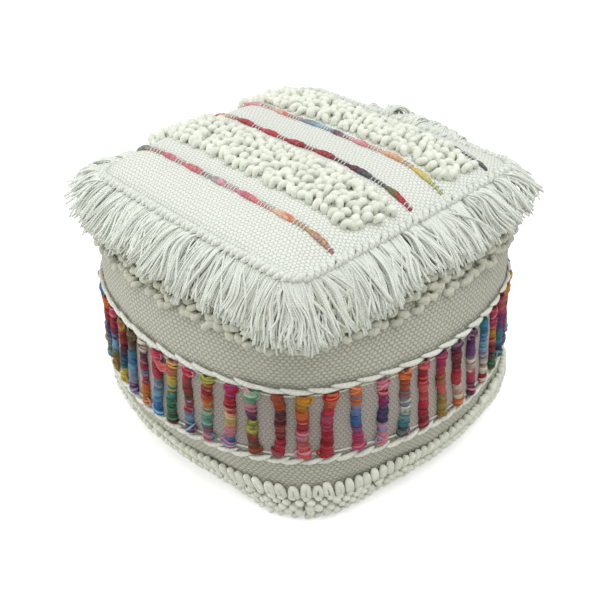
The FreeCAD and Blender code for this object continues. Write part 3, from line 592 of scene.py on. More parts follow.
def spun_wool(name, ply, depth, fleck=0.16, bloom=0.2, relief=0.7):
    """Spun wool yarn or roving, twisted from two plies.

    The twist shows as slanting grooves along each yarn, with painted shade for the shadow in each
    groove, and loose fibres that break up the light and a soft bloom at the rim. ply is the length
    of a turn in mm, depth how much the painted shade darkens the groove, fleck how much the fibres
    do, and relief how high they stand.
    """
    finish, tree = new_finish(name)
    dye, twist = (add_node(tree, "Attribute", attribute_name=layer) for layer in ("dye", "twist"))
    spot = add_node(tree, "SeparateXYZ", (twist.outputs["Vector"],))
    phase = add_node(tree, "Math", (spot, FULL_TURN / ply), operation="MULTIPLY")
    cosine, sine = (add_node(tree, "Math", (phase,), operation=wave) for wave in ("COSINE", "SINE"))
    first = add_node(tree, "Math", (cosine, spot.outputs[1]), operation="MULTIPLY")
    lobe = add_node(tree, "Math", (sine, spot.outputs[2], first), operation="MULTIPLY_ADD")
    ridge = add_node(tree, "Math", (lobe,), operation="ABSOLUTE")
    where = add_node(tree, "TexCoord").outputs["Object"]
    fibre = add_node(tree, "TexNoise", {"Vector": where, "Scale": 1 / (FIBRE * MM), "Detail": 3.0})
    tone = add_node(tree, "MapRange", {
        "Value": fibre, "From Min": 0.3, "From Max": 0.7, "To Min": 1 - fleck,
        "To Max": 1 + fleck * 0.4})
    # Painted shade: the colour darkens in the groove between the plies, for the shadow there.
    groove = add_node(tree, "MapRange", {
        "Value": ridge, "From Min": 0.0, "From Max": 0.5, "To Min": 1 - depth, "To Max": 1.0})
    both = add_node(tree, "Math", (tone, groove), operation="MULTIPLY")
    shade = add_node(tree, "VectorMath", {0: dye, "Scale": both}, operation="SCALE")
    height = add_node(tree, "Math", (fibre, 0.8, ridge), operation="MULTIPLY_ADD")
    bump = add_node(tree, "Bump", {"Height": height, "Strength": relief, "Distance": 0.9 * MM})
    wool = add_node(tree, "BsdfPrincipled", {
        "Base Color": shade, "Roughness": 0.92, "Normal": bump, "Specular IOR Level": 0.2,
        "Sheen Weight": bloom, "Sheen Roughness": 0.5})
    add_node(tree, "OutputMaterial", (wool,))
    return finish


def plain_cloth(name, yarn, pitch, roughness=0.9):
    """Plain-woven cotton cloth or tape, or the thin woven skin on wadding.

    Fine threads cross one over one, so the cloth shows a small even check, drawn coarser than
    the real thread so that it shows at all, with slight slubs along it.
    """
    finish, tree = new_finish(name)
    where = add_node(tree, "TexCoord").outputs["Object"]
    check = add_node(tree, "TexChecker", {
        "Vector": where, "Scale": 1 / (pitch * MM), "Color1": rgba(yarn * 0.86),
        "Color2": rgba(yarn)})
    slub = add_node(tree, "TexNoise", {"Vector": where, "Scale": 1 / (6 * MM), "Detail": 2.0})
    tone = add_node(tree, "MapRange", {
        "Value": slub, "From Min": 0.3, "From Max": 0.7, "To Min": 0.92, "To Max": 1.05})
    shade = add_node(tree, "VectorMath", {0: check, "Scale": tone}, operation="SCALE")
    bump = add_node(tree, "Bump", {
        "Height": check.outputs["Fac"], "Strength": 0.4, "Distance": 0.3 * MM})
    cloth = add_node(tree, "BsdfPrincipled", {
        "Base Color": shade, "Roughness": roughness, "Normal": bump, "Specular IOR Level": 0.3})
    add_node(tree, "OutputMaterial", (cloth,))
    return finish


def cast_brass(name, metal):
    """Die-cast brass with an aged, brushed finish.

    A warm metal with soft highlights, fine brush lines and duller, browner patches where hands
    have rubbed it.
    """
    finish, tree = new_finish(name)
    where = add_node(tree, "TexCoord").outputs["Object"]
    long_way = add_node(tree, "Mapping", {"Vector": where, "Scale": (1.0, 12.0, 12.0)})
    brush = add_node(tree, "TexNoise", {"Vector": long_way, "Scale": 1 / (4 * MM), "Detail": 2.0})
    worn = add_node(tree, "TexNoise", {"Vector": where, "Scale": 1 / (5 * MM)})
    hue = add_node(tree, "Mix", {0: worn, 6: rgba(metal * 0.62), 7: rgba(metal)}, data_type="RGBA")
    gloss = add_node(tree, "MapRange", {"Value": brush, "To Min": 0.28, "To Max": 0.5})
    shine = add_node(tree, "BsdfPrincipled", {
        "Base Color": hue.outputs[2], "Metallic": 1.0, "Roughness": gloss})
    add_node(tree, "OutputMaterial", (shine,))
    return finish


def moulded_nylon(name, plastic):
    """Injection-moulded nylon, matt and slightly mottled, with a dull sheen on its edges."""
    finish, tree = new_finish(name)
    where = add_node(tree, "TexCoord").outputs["Object"]
    mottle = add_node(tree, "TexNoise", {"Vector": where, "Scale": 1 / (2 * MM)})
    hue = add_node(tree, "Mix", {0: mottle, 6: rgba(plastic * 0.85), 7: rgba(plastic)},
                   data_type="RGBA")
    body = add_node(tree, "BsdfPrincipled", {
        "Base Color": hue.outputs[2], "Roughness": 0.45, "IOR": 1.53})
    add_node(tree, "OutputMaterial", (body,))
    return finish


def sizes():
    """The sizes set in the sidebar, in mm, and the counts as they are."""
    group = bpy.context.scene.pouf_sizes
    counts = ("fringe_strands", "fringe_tassels")
    values = {k: getattr(group, k) for k in PoufSizes.__annotations__}
    return {k: v if k in counts else v / MM for k, v in values.items()}


def shades():
    """The colours set in the sidebar, as linear red, green and blue."""
    group = bpy.context.scene.pouf_colours
    return {k: np.array(getattr(group, k)) for k in PoufColours.__annotations__}


def grid_faces(rows, columns, closed):
    """Four-sided faces over rows and columns of points, closed round the columns if asked."""
    row = np.arange(rows - 1)[:, None]
    column = np.arange(columns if closed else columns - 1)[None]
    right = (column + 1) % columns
    corners = [row * columns + column, row * columns + right,
               (row + 1) * columns + right, (row + 1) * columns + column]
    shape = rows - 1, column.size
    return np.stack([np.broadcast_to(c, shape) for c in corners], -1).reshape(-1, 4)


def grid_map(across, up):
    """The cloth map of a grid's face corners, from the place of each column and row, in mm."""
    a, b, c, d = across[:-1], across[1:], up[:-1], up[1:]
    u = np.stack([a, b, b, a], -1)[None] + 0 * c[:, None, None]
    v = np.stack([c, c, d, d], -1)[:, None] + 0 * a[None, :, None]
    return np.stack([u, v], axis=-1).reshape(-1, 2)


def arches(foot, across, rise, half, lift, power, steps):
    """Paths of loops that arch over places on a cloth, and how far round its arch each point is."""
    t = np.linspace(0, math.pi, steps)
    side = across[:, None] * np.cos(t)[:, None] * half.reshape(-1, 1, 1)
    up = rise[:, None] * (np.sin(t) ** power)[:, None] * lift.reshape(-1, 1, 1)
    return foot[:, None] - side + up, t


class POUF_OT_inner_cushion(bpy.types.Operator):
    """Make the wadding and the cotton bag round it"""

    bl_idname = "pouf.inner_cushion"
    bl_label = "Inner cushion"

    def execute(self, context):
        colours = shades()
        # Each layer's node, slot, inset from the cover in mm, finish and colour.
        rows = (
            ("inner_bag", "liner", "liner_cotton", 8.0, "Cotton lining, plain woven", "cotton"),
            ("wadding", "filling", "fibre_fill", 11.0, "Wool wadding, carded", "wadding"),
        )
        around, wall_rings, top_rings, floor_rings = 128, 26, 14, 32
        share = np.arange(around) / around
        for name, node, slot, inset, finish, tone in rows:
            bottom = np.array(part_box(node))[0, 2] / MM
            up = np.linspace(bottom + 1.0, EDGE_HEIGHT - inset, wall_rings)
            rings = [on_wall(share, z, -inset)[0] for z in up]
            for ring, z in zip(rings, up):
                ring[:, 2] = z
            rim = rings[-1]
            for part in np.linspace(0.95, 0.05, top_rings):
                x, y = rim[:, 0] * part, rim[:, 1] * part
                rings.append(xyz(x, y, crown(x, y) - inset))
            floor = np.linspace(0.03, 0.97, floor_rings)[:, None, None] * rings[0] * (1, 1, 0)
            long_way, wide_way = np.abs(floor[..., 0]), np.abs(floor[..., 1])
            floor[..., 2] = up[0] + HOLLOW * (1 - smooth_step((long_way - SLOT_LONG - 12) / 14)) * (
                1 - smooth_step((wide_way - SLOT_WIDE - HEM_WIDE - 6) / 16))
            rings = list(floor) + rings
            points = np.concatenate(rings)
            faces = grid_faces(len(rings), around, True)
            ends = [np.arange(around)[None, ::-1], np.arange(around)[None] + len(points) - around]
            mesh = mesh_from(name, settled(points), [faces] + ends)
            bag = piece(name, mesh, plain_cloth(finish, colours[tone], pitch=1.4), slot, node)
        return {"FINISHED"}


class POUF_OT_top_cloth(bpy.types.Operator):
    """Make the crowned top cloth"""

    bl_idname = "pouf.top_cloth"
    bl_label = "Top cloth"

    def execute(self, context):
        size, colours = sizes(), shades()
        steps = 150
        way = np.linspace(-1, 1, steps)
        a, b = np.meshgrid(way, way)
        rounding = 1 - 0.037 * np.abs(a * b) ** 10
        x = a * (EDGE_HALF + EDGE_BOW * (1 - b * b)) * rounding
        y = b * (EDGE_HALF + EDGE_BOW * (1 - a * a)) * rounding
        points = xyz(x, y, crown(x, y)).reshape(-1, 3)
        cloth = grid_map(way * EDGE_HALF, way * EDGE_HALF)
        mesh = mesh_from("top_cloth", settled(points), [grid_faces(steps, steps, False)], cloth)
        # The gaps take a painted shade, lighter on the top.
        finish = woven_wool("Wool, plain woven for the top", colours["ivory"],
                            colours["shade"] * 1.2, warp=size["warp_pitch"] * 0.75,
                            weft=size["weft_pitch"], gap=0.3)
        top = piece("top_cloth", mesh, finish, "ivory_weave", "top_panel")
        thicken(top, CLOTH)
        return {"FINISHED"}


class POUF_OT_wall_cloth(bpy.types.Operator):
    """Make the swelling wall cloth, pulled in under its stitch rows"""

    bl_idname = "pouf.wall_cloth"
    bl_label = "Wall cloth"

    def execute(self, context):
        size, colours = sizes(), shades()
        around, rows = 480, 86
        share = np.arange(around) / around
        z = np.linspace(0.6, EDGE_HEIGHT - 0.5, rows)
        s, h = np.meshgrid(share, z)
        dip, spread = 1.6, 6.0
        pull = -dip * sum(np.exp(-((h - row) / spread) ** 2) for row in (UPPER_CHAIN, LOWER_CHAIN))
        ease = 1.0 * np.sin(s * FULL_TURN * 7 + 1.0) * np.sin(h / 41.0) + 0.7 * np.sin(
            s * FULL_TURN * 19 + h / 23.0)
        inside = smooth_step(h / 40) * smooth_step((EDGE_HEIGHT - h) / 30)
        points = on_wall(s, h, pull + ease * inside)[0].reshape(-1, 3)
        points[:, 2] = np.clip(points[:, 2], 0.4, None)
        walk = np.linalg.norm(np.diff(points.reshape(rows, around, 3)[:, 0], axis=0), axis=1)
        up = np.concatenate([[0], np.cumsum(walk)])
        cloth = grid_map(np.arange(around + 1) / around * MEAN_GIRTH, up)
        mesh = mesh_from("wall_cloth", settled(points), [grid_faces(rows, around, True)], cloth)
        # The wall's colour and its gap colour both carry painted shade.
        coarse = woven_wool("Wool, plain woven for the wall", colours["wall"],
                            colours["shade"] * 0.72, warp=size["warp_pitch"],
                            weft=size["weft_pitch"], gap=0.8)
        # The ground and its darker gap colour carry painted shade for the shadow under the belly
        # and between the bars.
        fine = woven_wool("Wool, close woven behind the bars", colours["ground"],
                          colours["ground"] * 0.62, warp=size["warp_pitch"] * 0.8,
                          weft=size["weft_pitch"] * 0.9, gap=0.5)
        wall = piece("wall_cloth", mesh, coarse, "ivory_weave", "side_wall")
        mesh.materials.append(fine)
        middle = (z[:-1] + z[1:]) / 2
        zone = (middle > LOWER_CHAIN + 8) & (middle < UPPER_CHAIN - 8)
        mesh.polygons.foreach_set("material_index", np.repeat(zone, around).astype(np.int32))
        thicken(wall, CLOTH)
        return {"FINISHED"}


class POUF_OT_top_loops(bpy.types.Operator):
    """Make the two bands of looped pile on the top"""

    bl_idname = "pouf.top_loops"
    bl_label = "Loop bands on the top"

    def execute(self, context):
        size, colours = sizes(), shades()
        finish = spun_wool("Wool roving, looped into the top", ply=11.0, depth=0.08,
                           fleck=0.1, bloom=0.2, relief=0.4)
        rng = np.random.default_rng(7)
        pitch = size["roving"] * 1.06
        for band, (middle, width) in TOP_BANDS.items():
            rows = max(1, round(width / LOOP_ROW))
            first, last = BAND_ENDS
            count = int((last - first) / pitch)
            y = middle + ((np.arange(rows) + 0.5) / rows - 0.5) * width
            x = first + (np.arange(count) + 0.5) * pitch
            x, y = np.meshgrid(x, y)
            x = x + pitch * 0.5 * (np.arange(rows)[:, None] % 2 - 0.5)
            x = (x + rng.normal(0, 1.3, x.shape)).ravel()
            y = (y + rng.normal(0, 1.5, y.shape)).ravel()
            yarns = Yarns()
            self.lay_loops(yarns, rng, x, y, size, colours["roving"])
            yarns.piece("loop_band_" + band, finish, "loop_pile", "loop_band_top_" + band)
        return {"FINISHED"}

    def lay_loops(self, yarns, rng, x, y, size, base):
        """Lay one arch of roving at each place, leaning its own way."""
        count = len(x)
        normal = crown_normal(x, y)
        turn = math.pi / 2 + rng.normal(0, 0.6, count)
        flat = unit(xyz(np.cos(turn), np.sin(turn), 0))
        across = unit(flat - normal * np.sum(flat * normal, -1, keepdims=True))
        beside = np.cross(across, normal)
        rise = unit(normal + beside * rng.normal(0, 0.3, (count, 1))
                    + across * rng.normal(0, 0.2, (count, 1)))
        half = size["roving"] * 0.44 * rng.uniform(0.8, 1.2, count)
        lift = size["loop_height"] * rng.uniform(0.8, 1.15, count)
        foot = xyz(x, y, crown(x, y) - 1.0)
        paths, t = arches(foot, across, rise, half, lift, power=0.8, steps=9)
        thick = size["roving"] / 2 * rng.uniform(0.84, 1.02, (count, 1))
        radius = thick * (0.7 + 0.24 * np.sin(t))
        yarns.lay(paths, radius, np.cross(across, rise)[:, None], tints(rng, base, count), sides=8)


class POUF_OT_wall_loops(bpy.types.Operator):
    """Make the bands of looped pile under the fringe and at the floor"""

    bl_idname = "pouf.wall_loops"
    bl_label = "Loop bands on the wall"

    def execute(self, context):
        roving = shades()["roving"]
        finish = spun_wool("Wool roving, looped into the wall", ply=11.0, depth=0.1,
                           fleck=0.12, bloom=0.2, relief=0.5)
        rng = np.random.default_rng(11)
        yarns = Yarns()
        for row, (z, drop) in enumerate(SHOULDER_ROWS):
            share = (np.arange(SHOULDER_COUNT) + 0.5 * (row % 2)) / SHOULDER_COUNT
            # Their colour is darkened by painted shade for the fringe's shadow.
            self.drop_loops(yarns, rng, share, z, half=5.2, drop=drop, thick=4.8,
                            base=roving * SHOULDER_PAINTED_SHADE)
        yarns.piece("shoulder_loops", finish, "loop_pile", "loop_band_upper")
        yarns = Yarns()
        share = self.packed(FLOOR_COUNT)
        front, left, right = (self.near(share, *place) for place in FLOOR_SWELLS)
        self.arch_loops(yarns, rng, share, z=47.0 - 4.0 * front + 4.0 * left,
                        half=1.5 + 2.4 * front, rise=19.0 + front, thick=4.4 - 0.6 * front,
                        tip=0.2 * front, sunk=3.2 * left, base=roving)
        for row, part in enumerate(FLOOR_BEADS):
            out = 4.5 + (2.5 + 11.0 * (1 - part)) * front + 7.0 * left + 6.0 * right
            self.beads(yarns, rng, share + row % 2 / (2 * FLOOR_COUNT),
                       z=part * (39.0 + 3.0 * front + 7.0 * left), out=out,
                       thick=5.6 + 0.4 * front, base=roving)
        yarns.piece("floor_loops", finish, "loop_pile", "loop_band_floor")
        return {"FINISHED"}

    def near(self, share, middle, spread):
        """How near places round the wall are to one of them, from 0 to 1."""
        return np.exp(-(((share - middle + 0.5) % 1 - 0.5) / spread) ** 2)

    def packed(self, count):
        """Places for loops round the wall: wide apart at the drawn up front corner, else close."""
        fine = np.linspace(0, 1, 2001)
        total = np.cumsum(1 - 0.28 * self.near(fine, FRONT_CORNER, 0.06))
        return np.interp((np.arange(count) + 0.5) / count, total / total[-1], fine)

    def drop_loops(self, yarns, rng, share, z, half, drop, thick, base):
        """Lay loops that come out of the wall and droop."""
        count = len(share)
        share = share + rng.normal(0, 0.0018, count)
        foot, normal, around = on_wall(share, z + rng.normal(0, 2.6, count))
        up = np.cross(normal, around)
        hang = unit(normal * 0.85 - up * rng.uniform(0.3, 0.8, (count, 1))
                    + around * rng.normal(0, 0.25, (count, 1)))
        lean = unit(around + up * rng.normal(0, 0.35, (count, 1)))
        half = half * rng.uniform(0.85, 1.2, count)
        drop = drop * rng.uniform(0.85, 1.15, count)
        paths, t = arches(foot, lean, hang, half, drop, power=0.8, steps=8)
        radius = thick * rng.uniform(0.88, 1.08, (count, 1)) * (0.8 + 0.24 * np.sin(t))
        yarns.lay(paths, radius, np.cross(lean, hang)[:, None], tints(rng, base, count), sides=7)

    def beads(self, yarns, rng, share, z, out, thick, base):
        """Lay short tight loops that stand straight out of the wall like beads."""
        count = len(share)
        z = z + rng.normal(0, 0.7, count)
        foot, normal, around = on_wall(share + rng.normal(0, 0.0008, count), z)
        up = np.cross(normal, around)
        lean = unit(normal + up * rng.normal(-0.1, 0.12, (count, 1))
                    + around * rng.normal(0, 0.15, (count, 1)))
        t = np.linspace(0, 1, 7)
        reach = out * rng.uniform(0.92, 1.08, count)
        paths = foot[:, None] + lean[:, None] * t[:, None] * reach[:, None, None]
        paths[..., 2] = np.maximum(paths[..., 2], thick[:, None] + 0.3)
        round_end = np.sqrt(np.clip(1 - ((t - 0.55) / 0.46) ** 2, 0, 1))
        shape = np.where(t < 0.55, 0.8 + 0.2 * t / 0.55, np.maximum(round_end, 0.08))
        radius = thick[:, None] * rng.uniform(0.9, 1.06, (count, 1)) * shape
        yarns.lay(paths, radius, up[:, None], tints(rng, base, count), sides=8)

    def arch_loops(self, yarns, rng, share, z, half, rise, thick, tip, sunk, base):
        """Lay narrow arches up the wall, tipped away from it or sunk into it a little."""
        count = len(share)
        z = z + rng.normal(0, 0.8, count)
        foot, normal, around = on_wall(share, z, thick * 0.6 + 1.0 - sunk)
        up = np.cross(normal, around)
        lean = unit(up + normal * tip[:, None] * rng.uniform(0, 1, (count, 1))
                    + around * rng.normal(0, 0.08, (count, 1)))
        half = half * rng.uniform(0.9, 1.12, count)
        rise = rise * rng.uniform(0.88, 1.1, count)
        paths = arches(foot, around, lean, half, rise, power=0.65, steps=11)[0]
        radius = (thick * rng.uniform(0.9, 1.06, count))[:, None]
        yarns.lay(paths, radius, normal[:, None], tints(rng, base, count), sides=7)


class POUF_OT_stripes(bpy.types.Operator):
    """Make the space-dyed weft stripes: slubby floats, and stretches tied down by the warp"""

    bl_idname = "pouf.stripes"
    bl_label = "Colour stripes"

    def execute(self, context):
        colours = shades()
        finish = spun_wool("Wool yarn, space dyed and slubbed", ply=7.0, depth=0.2,
                           fleck=0.12, bloom=0.1)
        rng = np.random.default_rng(19)
        slots = ("stripe_red", "stripe_plum", "stripe_slate", "stripe_charcoal")
        rows = zip(STRIPE_PLACES, STRIPE_WEIGHTS, STRIPE_FADE, STRIPE_DYES, slots)
        for number, (y, weight, fade, words, slot) in enumerate(rows, 1):
            yarns = Yarns()
            ties, slubs = self.plan(rng)
            self.weft(yarns, rng, y, weight, fade, words, slubs)
            for x in ties:
                self.warp(yarns, rng, x, y, colours["ivory"])
            yarns.piece("stripe_%d" % number, finish, slot, "colour_stripe_%d" % number)
        return {"FINISHED"}

    def plan(self, rng):
        """Share the stripe out into floats and tied stretches."""
        ties, slubs, x = [], [], -STRIPE_END
        while x < STRIPE_END:
            run = rng.uniform(26.0, 42.0)
            slubs.append((x, min(x + run, STRIPE_END), rng.uniform(0.8, 1.15)))
            x += run
            for _ in range(int(rng.integers(3, 6))):
                ties.append(x)
                x += TIE_PITCH
        return [x for x in ties if x < STRIPE_END - 2], slubs

    def weft(self, yarns, rng, y, weight, fade, words, slubs):
        """Lay the dyed weft: four soft strands that swell together in each float."""
        x = np.arange(-STRIPE_END, STRIPE_END + 0.5, 1.5)
        swell = np.zeros_like(x)
        for low, high, much in slubs:
            t = np.clip((x - low) / (high - low), 0, 1)
            swell = np.maximum(swell, much * np.sin(math.pi * t) ** 0.7)
        shares = (x + EDGE_HALF) / (2 * EDGE_HALF)
        for strand in range(4):
            phase = strand / 4 * FULL_TURN + x / 9.0
            away = y + weight * (0.9 + 1.2 * swell) * np.cos(phase) + 0.5 * np.sin(x / 31.0 + y)
            lift = 0.7 + 1.3 * swell + (0.4 + 0.7 * swell) * np.sin(phase)
            path = xyz(x, away, crown(x, away) + lift)
            drift = 0.022 * np.sin(x / 13.0 + rng.uniform(0, 6)) + rng.normal(0, 0.014, x.size)
            dye = dye_run(words, shares + drift)
            pale = fade * (0.12 + 0.6 * rng.random(x.size) * rng.random(x.size))[:, None]
            dye = dye * (1 - pale) * rng.uniform(0.85, 1.1, (x.size, 1)) + pale * 0.75
            radius = weight * (1.3 + 0.75 * swell) * rng.uniform(0.92, 1.08, x.size)
            yarns.lay(path, radius, crown_normal(x, away), dye)

    def warp(self, yarns, rng, x, y, base):
        """Lay one warp thread across the stripe."""
        t = np.linspace(0, 1, 9)
        along = x + rng.normal(0, 0.3) + rng.normal(0, 0.5) * (t - 0.5)
        away = y + (t - 0.5) * 11.0
        path = xyz(along, away, crown(along, away) + 4.1 * np.sin(math.pi * t) ** 0.6 - 0.4)
        yarns.lay(path, 0.75, crown_normal(along, away), base)


class POUF_OT_edge_heading(bpy.types.Operator):
    """Make the twisted heading that the fringe hangs from"""

    bl_idname = "pouf.edge_heading"
    bl_label = "Edge heading"

    def execute(self, context):
        size, colours = sizes(), shades()
        rng = np.random.default_rng(23)
        finish = spun_wool("Wool yarn, twisted into the heading", ply=7.0, depth=0.16)
        yarns = Yarns()
        turns = round(HEADING_LENGTH / (2 * size["knot_pitch"]))
        steps = turns * 14
        share = np.arange(steps) / steps
        middle, out = ring_point(share, np.full(steps, EDGE_HEIGHT))
        sag = 6.0 * far_side(share)
        middle = middle + out * (2.6 + 0.4 * sag)[:, None] + (0, 0, 2.6) - xyz(0, 0, sag)
        corner = np.abs((share * 4) % 1 - 0.5) * 2
        ease = 0.5 + 0.5 * smooth_step(corner / 0.09)
        wander = 0.35 * np.sin(share * FULL_TURN * 37) + 0.2 * np.sin(share * FULL_TURN * 61)
        for strand in range(2):
            turn = share * turns * FULL_TURN + strand * math.pi + wander
            wide, tall = 4.1 * np.cos(turn) * ease, 2.9 * np.sin(turn) * ease
            path = middle + out * wide[:, None] + (0, 0, 1) * tall[:, None]
            radius = 2.2 + 2.1 * (0.5 + 0.5 * np.sin(turn)) ** 1.5
            radius = radius + 0.2 * np.sin(share * FULL_TURN * 91)
            tone = tints(rng, colours["fringe"] * 0.92, steps, 0.02)
            yarns.lay(path, radius, out, tone, sides=8, closed=True)
        yarns.piece("edge_heading", finish, "fringe_yarn", "edge_braid")
        return {"FINISHED"}


class POUF_OT_fringe(bpy.types.Operator):
    """Make the fringe: tassels of two-ply strands that stand out and fall over the wall"""

    bl_idname = "pouf.fringe"
    bl_label = "Fringe"

    def execute(self, context):
        size, colours = sizes(), shades()
        finish = spun_wool("Wool yarn, two-ply fringe", ply=6.5, depth=0.13,
                           fleck=0.05, bloom=0.5, relief=0.35)
        for seed, (side, middle) in enumerate(SIDE_SHARES.items()):
            rng = np.random.default_rng(31 + seed)
            yarns = Yarns()
            tassels = size["fringe_tassels"]
            for number in range(tassels):
                share = middle + ((number + 0.5 + rng.normal(0, 0.12)) / tassels - 0.5) / 4
                self.tassel(yarns, rng, share, size, colours["fringe"])
            yarns.piece("fringe_" + side + "_strands", finish, "fringe_yarn", "fringe_" + side)
        return {"FINISHED"}

    def tassel(self, yarns, rng, share, size, base):
        """Lay the strands of one tassel: three locks, fanned or drawn to a point, and strays."""
        room = 0.25 / size["fringe_tassels"]
        place = share % 1
        front, left, right, behind, beyond = (
            math.exp(-((place - middle) / wide) ** 2) for middle, wide in FRINGE_PLACES)
        strands = int(size["fringe_strands"] * (1 + 0.35 * front))
        past = (place - FRONT_CORNER + 0.5) % 1 - 0.5
        seen = abs(past) < 0.25
        swept = float(smooth_step(abs(past) / 0.17)) * math.copysign(1, past) if seen else 0
        back = float(far_side(share))
        raised = back * float(stretch(place, RAISED_FROM, RAISED_TO))
        drop = size["fringe_drop"] * rng.uniform(0.9, 1.1) * (
            1 + 0.3 * front - 0.4 * left - 0.38 * right - 0.6 * raised + 0.5 * back * behind
            - 0.35 * beyond)
        reach = size["fringe_reach"] * rng.uniform(0.9, 1.1) * (
            1 - 0.22 * front + 0.2 * left - 0.04 * right
            - back * (0.32 + 0.3 * behind - 0.3 * beyond))
        spread, locks = 0.52, 3
        start = rng.uniform(-spread, spread, strands)
        lock = np.clip(((start + spread) / (2 * spread) * locks).astype(int), 0, locks - 1)
        middle = (np.arange(locks) - (locks - 1) / 2) / locks
        fan, gather = rng.uniform(0.6, 1.9), rng.uniform(0.1, 0.9, locks)[lock]
        sweep = 0.85 * swept
        lean = sweep + rng.normal(0, 0.4) + rng.normal(0, 0.3 + 0.25 * front, locks)[lock]
        stray = np.where(rng.random(strands) < 0.14, 0.7, 0.06) * rng.normal(0, 1, strands)
        end = lean + middle[lock] * fan + (start - middle[lock]) * gather + stray
        under = rng.random(strands)
        backing = under > 0.62
        end = np.where(backing, sweep + start * 1.5 + rng.normal(0, 0.2, strands), end)
        drop = drop * rng.uniform(0.8, 1.05, strands) * rng.uniform(0.86, 1.1, locks)[lock]
        reach = reach * rng.uniform(0.86, 1.05, strands) * (1 - 0.2 * under)
        root, out, around = self.edge(share + start * room)
        root = root + out * (1.0 + 4.0 * rng.random((strands, 1))) + xyz(
            0, 0, 1.5 - 4.0 * under - 5.0 * (back - max(raised, beyond)))
        tip, tip_out, _ = self.edge(share + end * room)
        tip = tip + tip_out * reach[:, None] - xyz(0, 0, drop)
        bow = rng.uniform(5, 14) - 4 * under + rng.normal(0, 3.0, locks)[lock] + 8 * raised
        first = root + (tip - root) * 0.33 + out * 4 + xyz(0, 0, bow * 1.1)
        second = root + (tip - root) * 0.7 + xyz(0, 0, bow)
        t = np.linspace(0, 1, 14)[None, :, None]
        paths = ((1 - t) ** 3 * root[:, None] + 3 * t * (1 - t) ** 2 * first[:, None]
                 + 3 * t**2 * (1 - t) * second[:, None] + t**3 * tip[:, None])
        pace, begin, much = (rng.uniform(low, high, locks)[lock][:, None, None] for low, high in (
            (2, 7), (0, 6), (1.5, 7.5 + 3 * front)))
        swing = np.sin(t * pace + begin) * much
        sway = np.sin(t * rng.uniform(4, 10, (strands, 1, 1)) + rng.uniform(0, 6, (strands, 1, 1)))
        sway = swing + sway * rng.uniform(0.3, 1.6 + 0.6 * front, (strands, 1, 1))
        paths = paths + around[:, None] * sway * t
        radius = size["fringe_yarn"] / 2 * rng.uniform(0.85, 1.12, (strands, 1))
        yarns.lay(paths, radius, out[:, None], tints(rng, base * 0.95, strands), sides=5)

    def edge(self, share):
        """Points of the top edge, the level way out and the way round."""
        point, out = ring_point(share, np.full(np.shape(share), EDGE_HEIGHT))
        return point, out, xyz(-out[..., 1], out[..., 0], 0)


class POUF_OT_chain_rows(bpy.types.Operator):
    """Make the two rows of chain stitch and the flat thread beside each"""

    bl_idname = "pouf.chain_rows"
    bl_label = "Chain stitch rows"

    def execute(self, context):
        size, colours = sizes(), shades()
        finish = spun_wool("Wool yarn, chain stitched", ply=12.0, depth=0.04)
        overlap = 1.34
        # Each row's height, spacing, slant, and how far above it the flat thread runs.
        rows = (
            ("upper", UPPER_CHAIN, size["upper_stitch"], -1.0, -9.5),
            ("lower", LOWER_CHAIN, size["lower_stitch"], 1.0, 9.5),
        )
        for seed, (row, z, spacing, slant, thread) in enumerate(rows):
            rng = np.random.default_rng(43 + seed)
            steps = 400
            ring = ring_point(np.arange(steps) / steps, np.full(steps, z))[0]
            girth = np.sum(np.linalg.norm(np.roll(ring, -1, axis=0) - ring, axis=1))
            count = round(girth / spacing)
            yarns = Yarns()
            t = np.linspace(-0.5, 0.5, 11)[None]
            middle = (np.arange(count) / count)[:, None] + rng.normal(0, 0.06, (count, 1)) / count
            share = middle + t * overlap / count
            tilt = slant * 3.0 * rng.uniform(0.8, 1.25, (count, 1))
            height = z + 2 * t * tilt + rng.normal(0, 0.5, (count, 1)) - 1.2 * np.cos(math.pi * t)
            lift = 2.0 + 1.6 * np.cos(math.pi * t) - 2.8 * t
            paths, normal, _ = on_wall(share, height, lift)
            body = np.cos(math.pi * t * 0.98)
            radius = size["chain_yarn"] / 2 * rng.uniform(0.9, 1.1, (count, 1))
            radius = radius * np.maximum(body, 0.05) ** 0.42
            tone = tints(rng, colours["chain"], count)
            yarns.lay(paths, radius, normal, tone, sides=8, flat=0.8)
            steps = 480
            share = np.arange(steps) / steps
            wander = 0.7 * np.sin(share * FULL_TURN * 23) + 0.5 * np.sin(share * FULL_TURN * 9)
            path, normal, _ = on_wall(share, z + thread + wander, 0.6)
            yarns.lay(path, 1.5, normal, colours["chain"] * 0.95, flat=0.6, closed=True)
            yarns.piece("chain_row_" + row, finish, "chain_yarn", "chain_stitch_" + row)
        return {"FINISHED"}


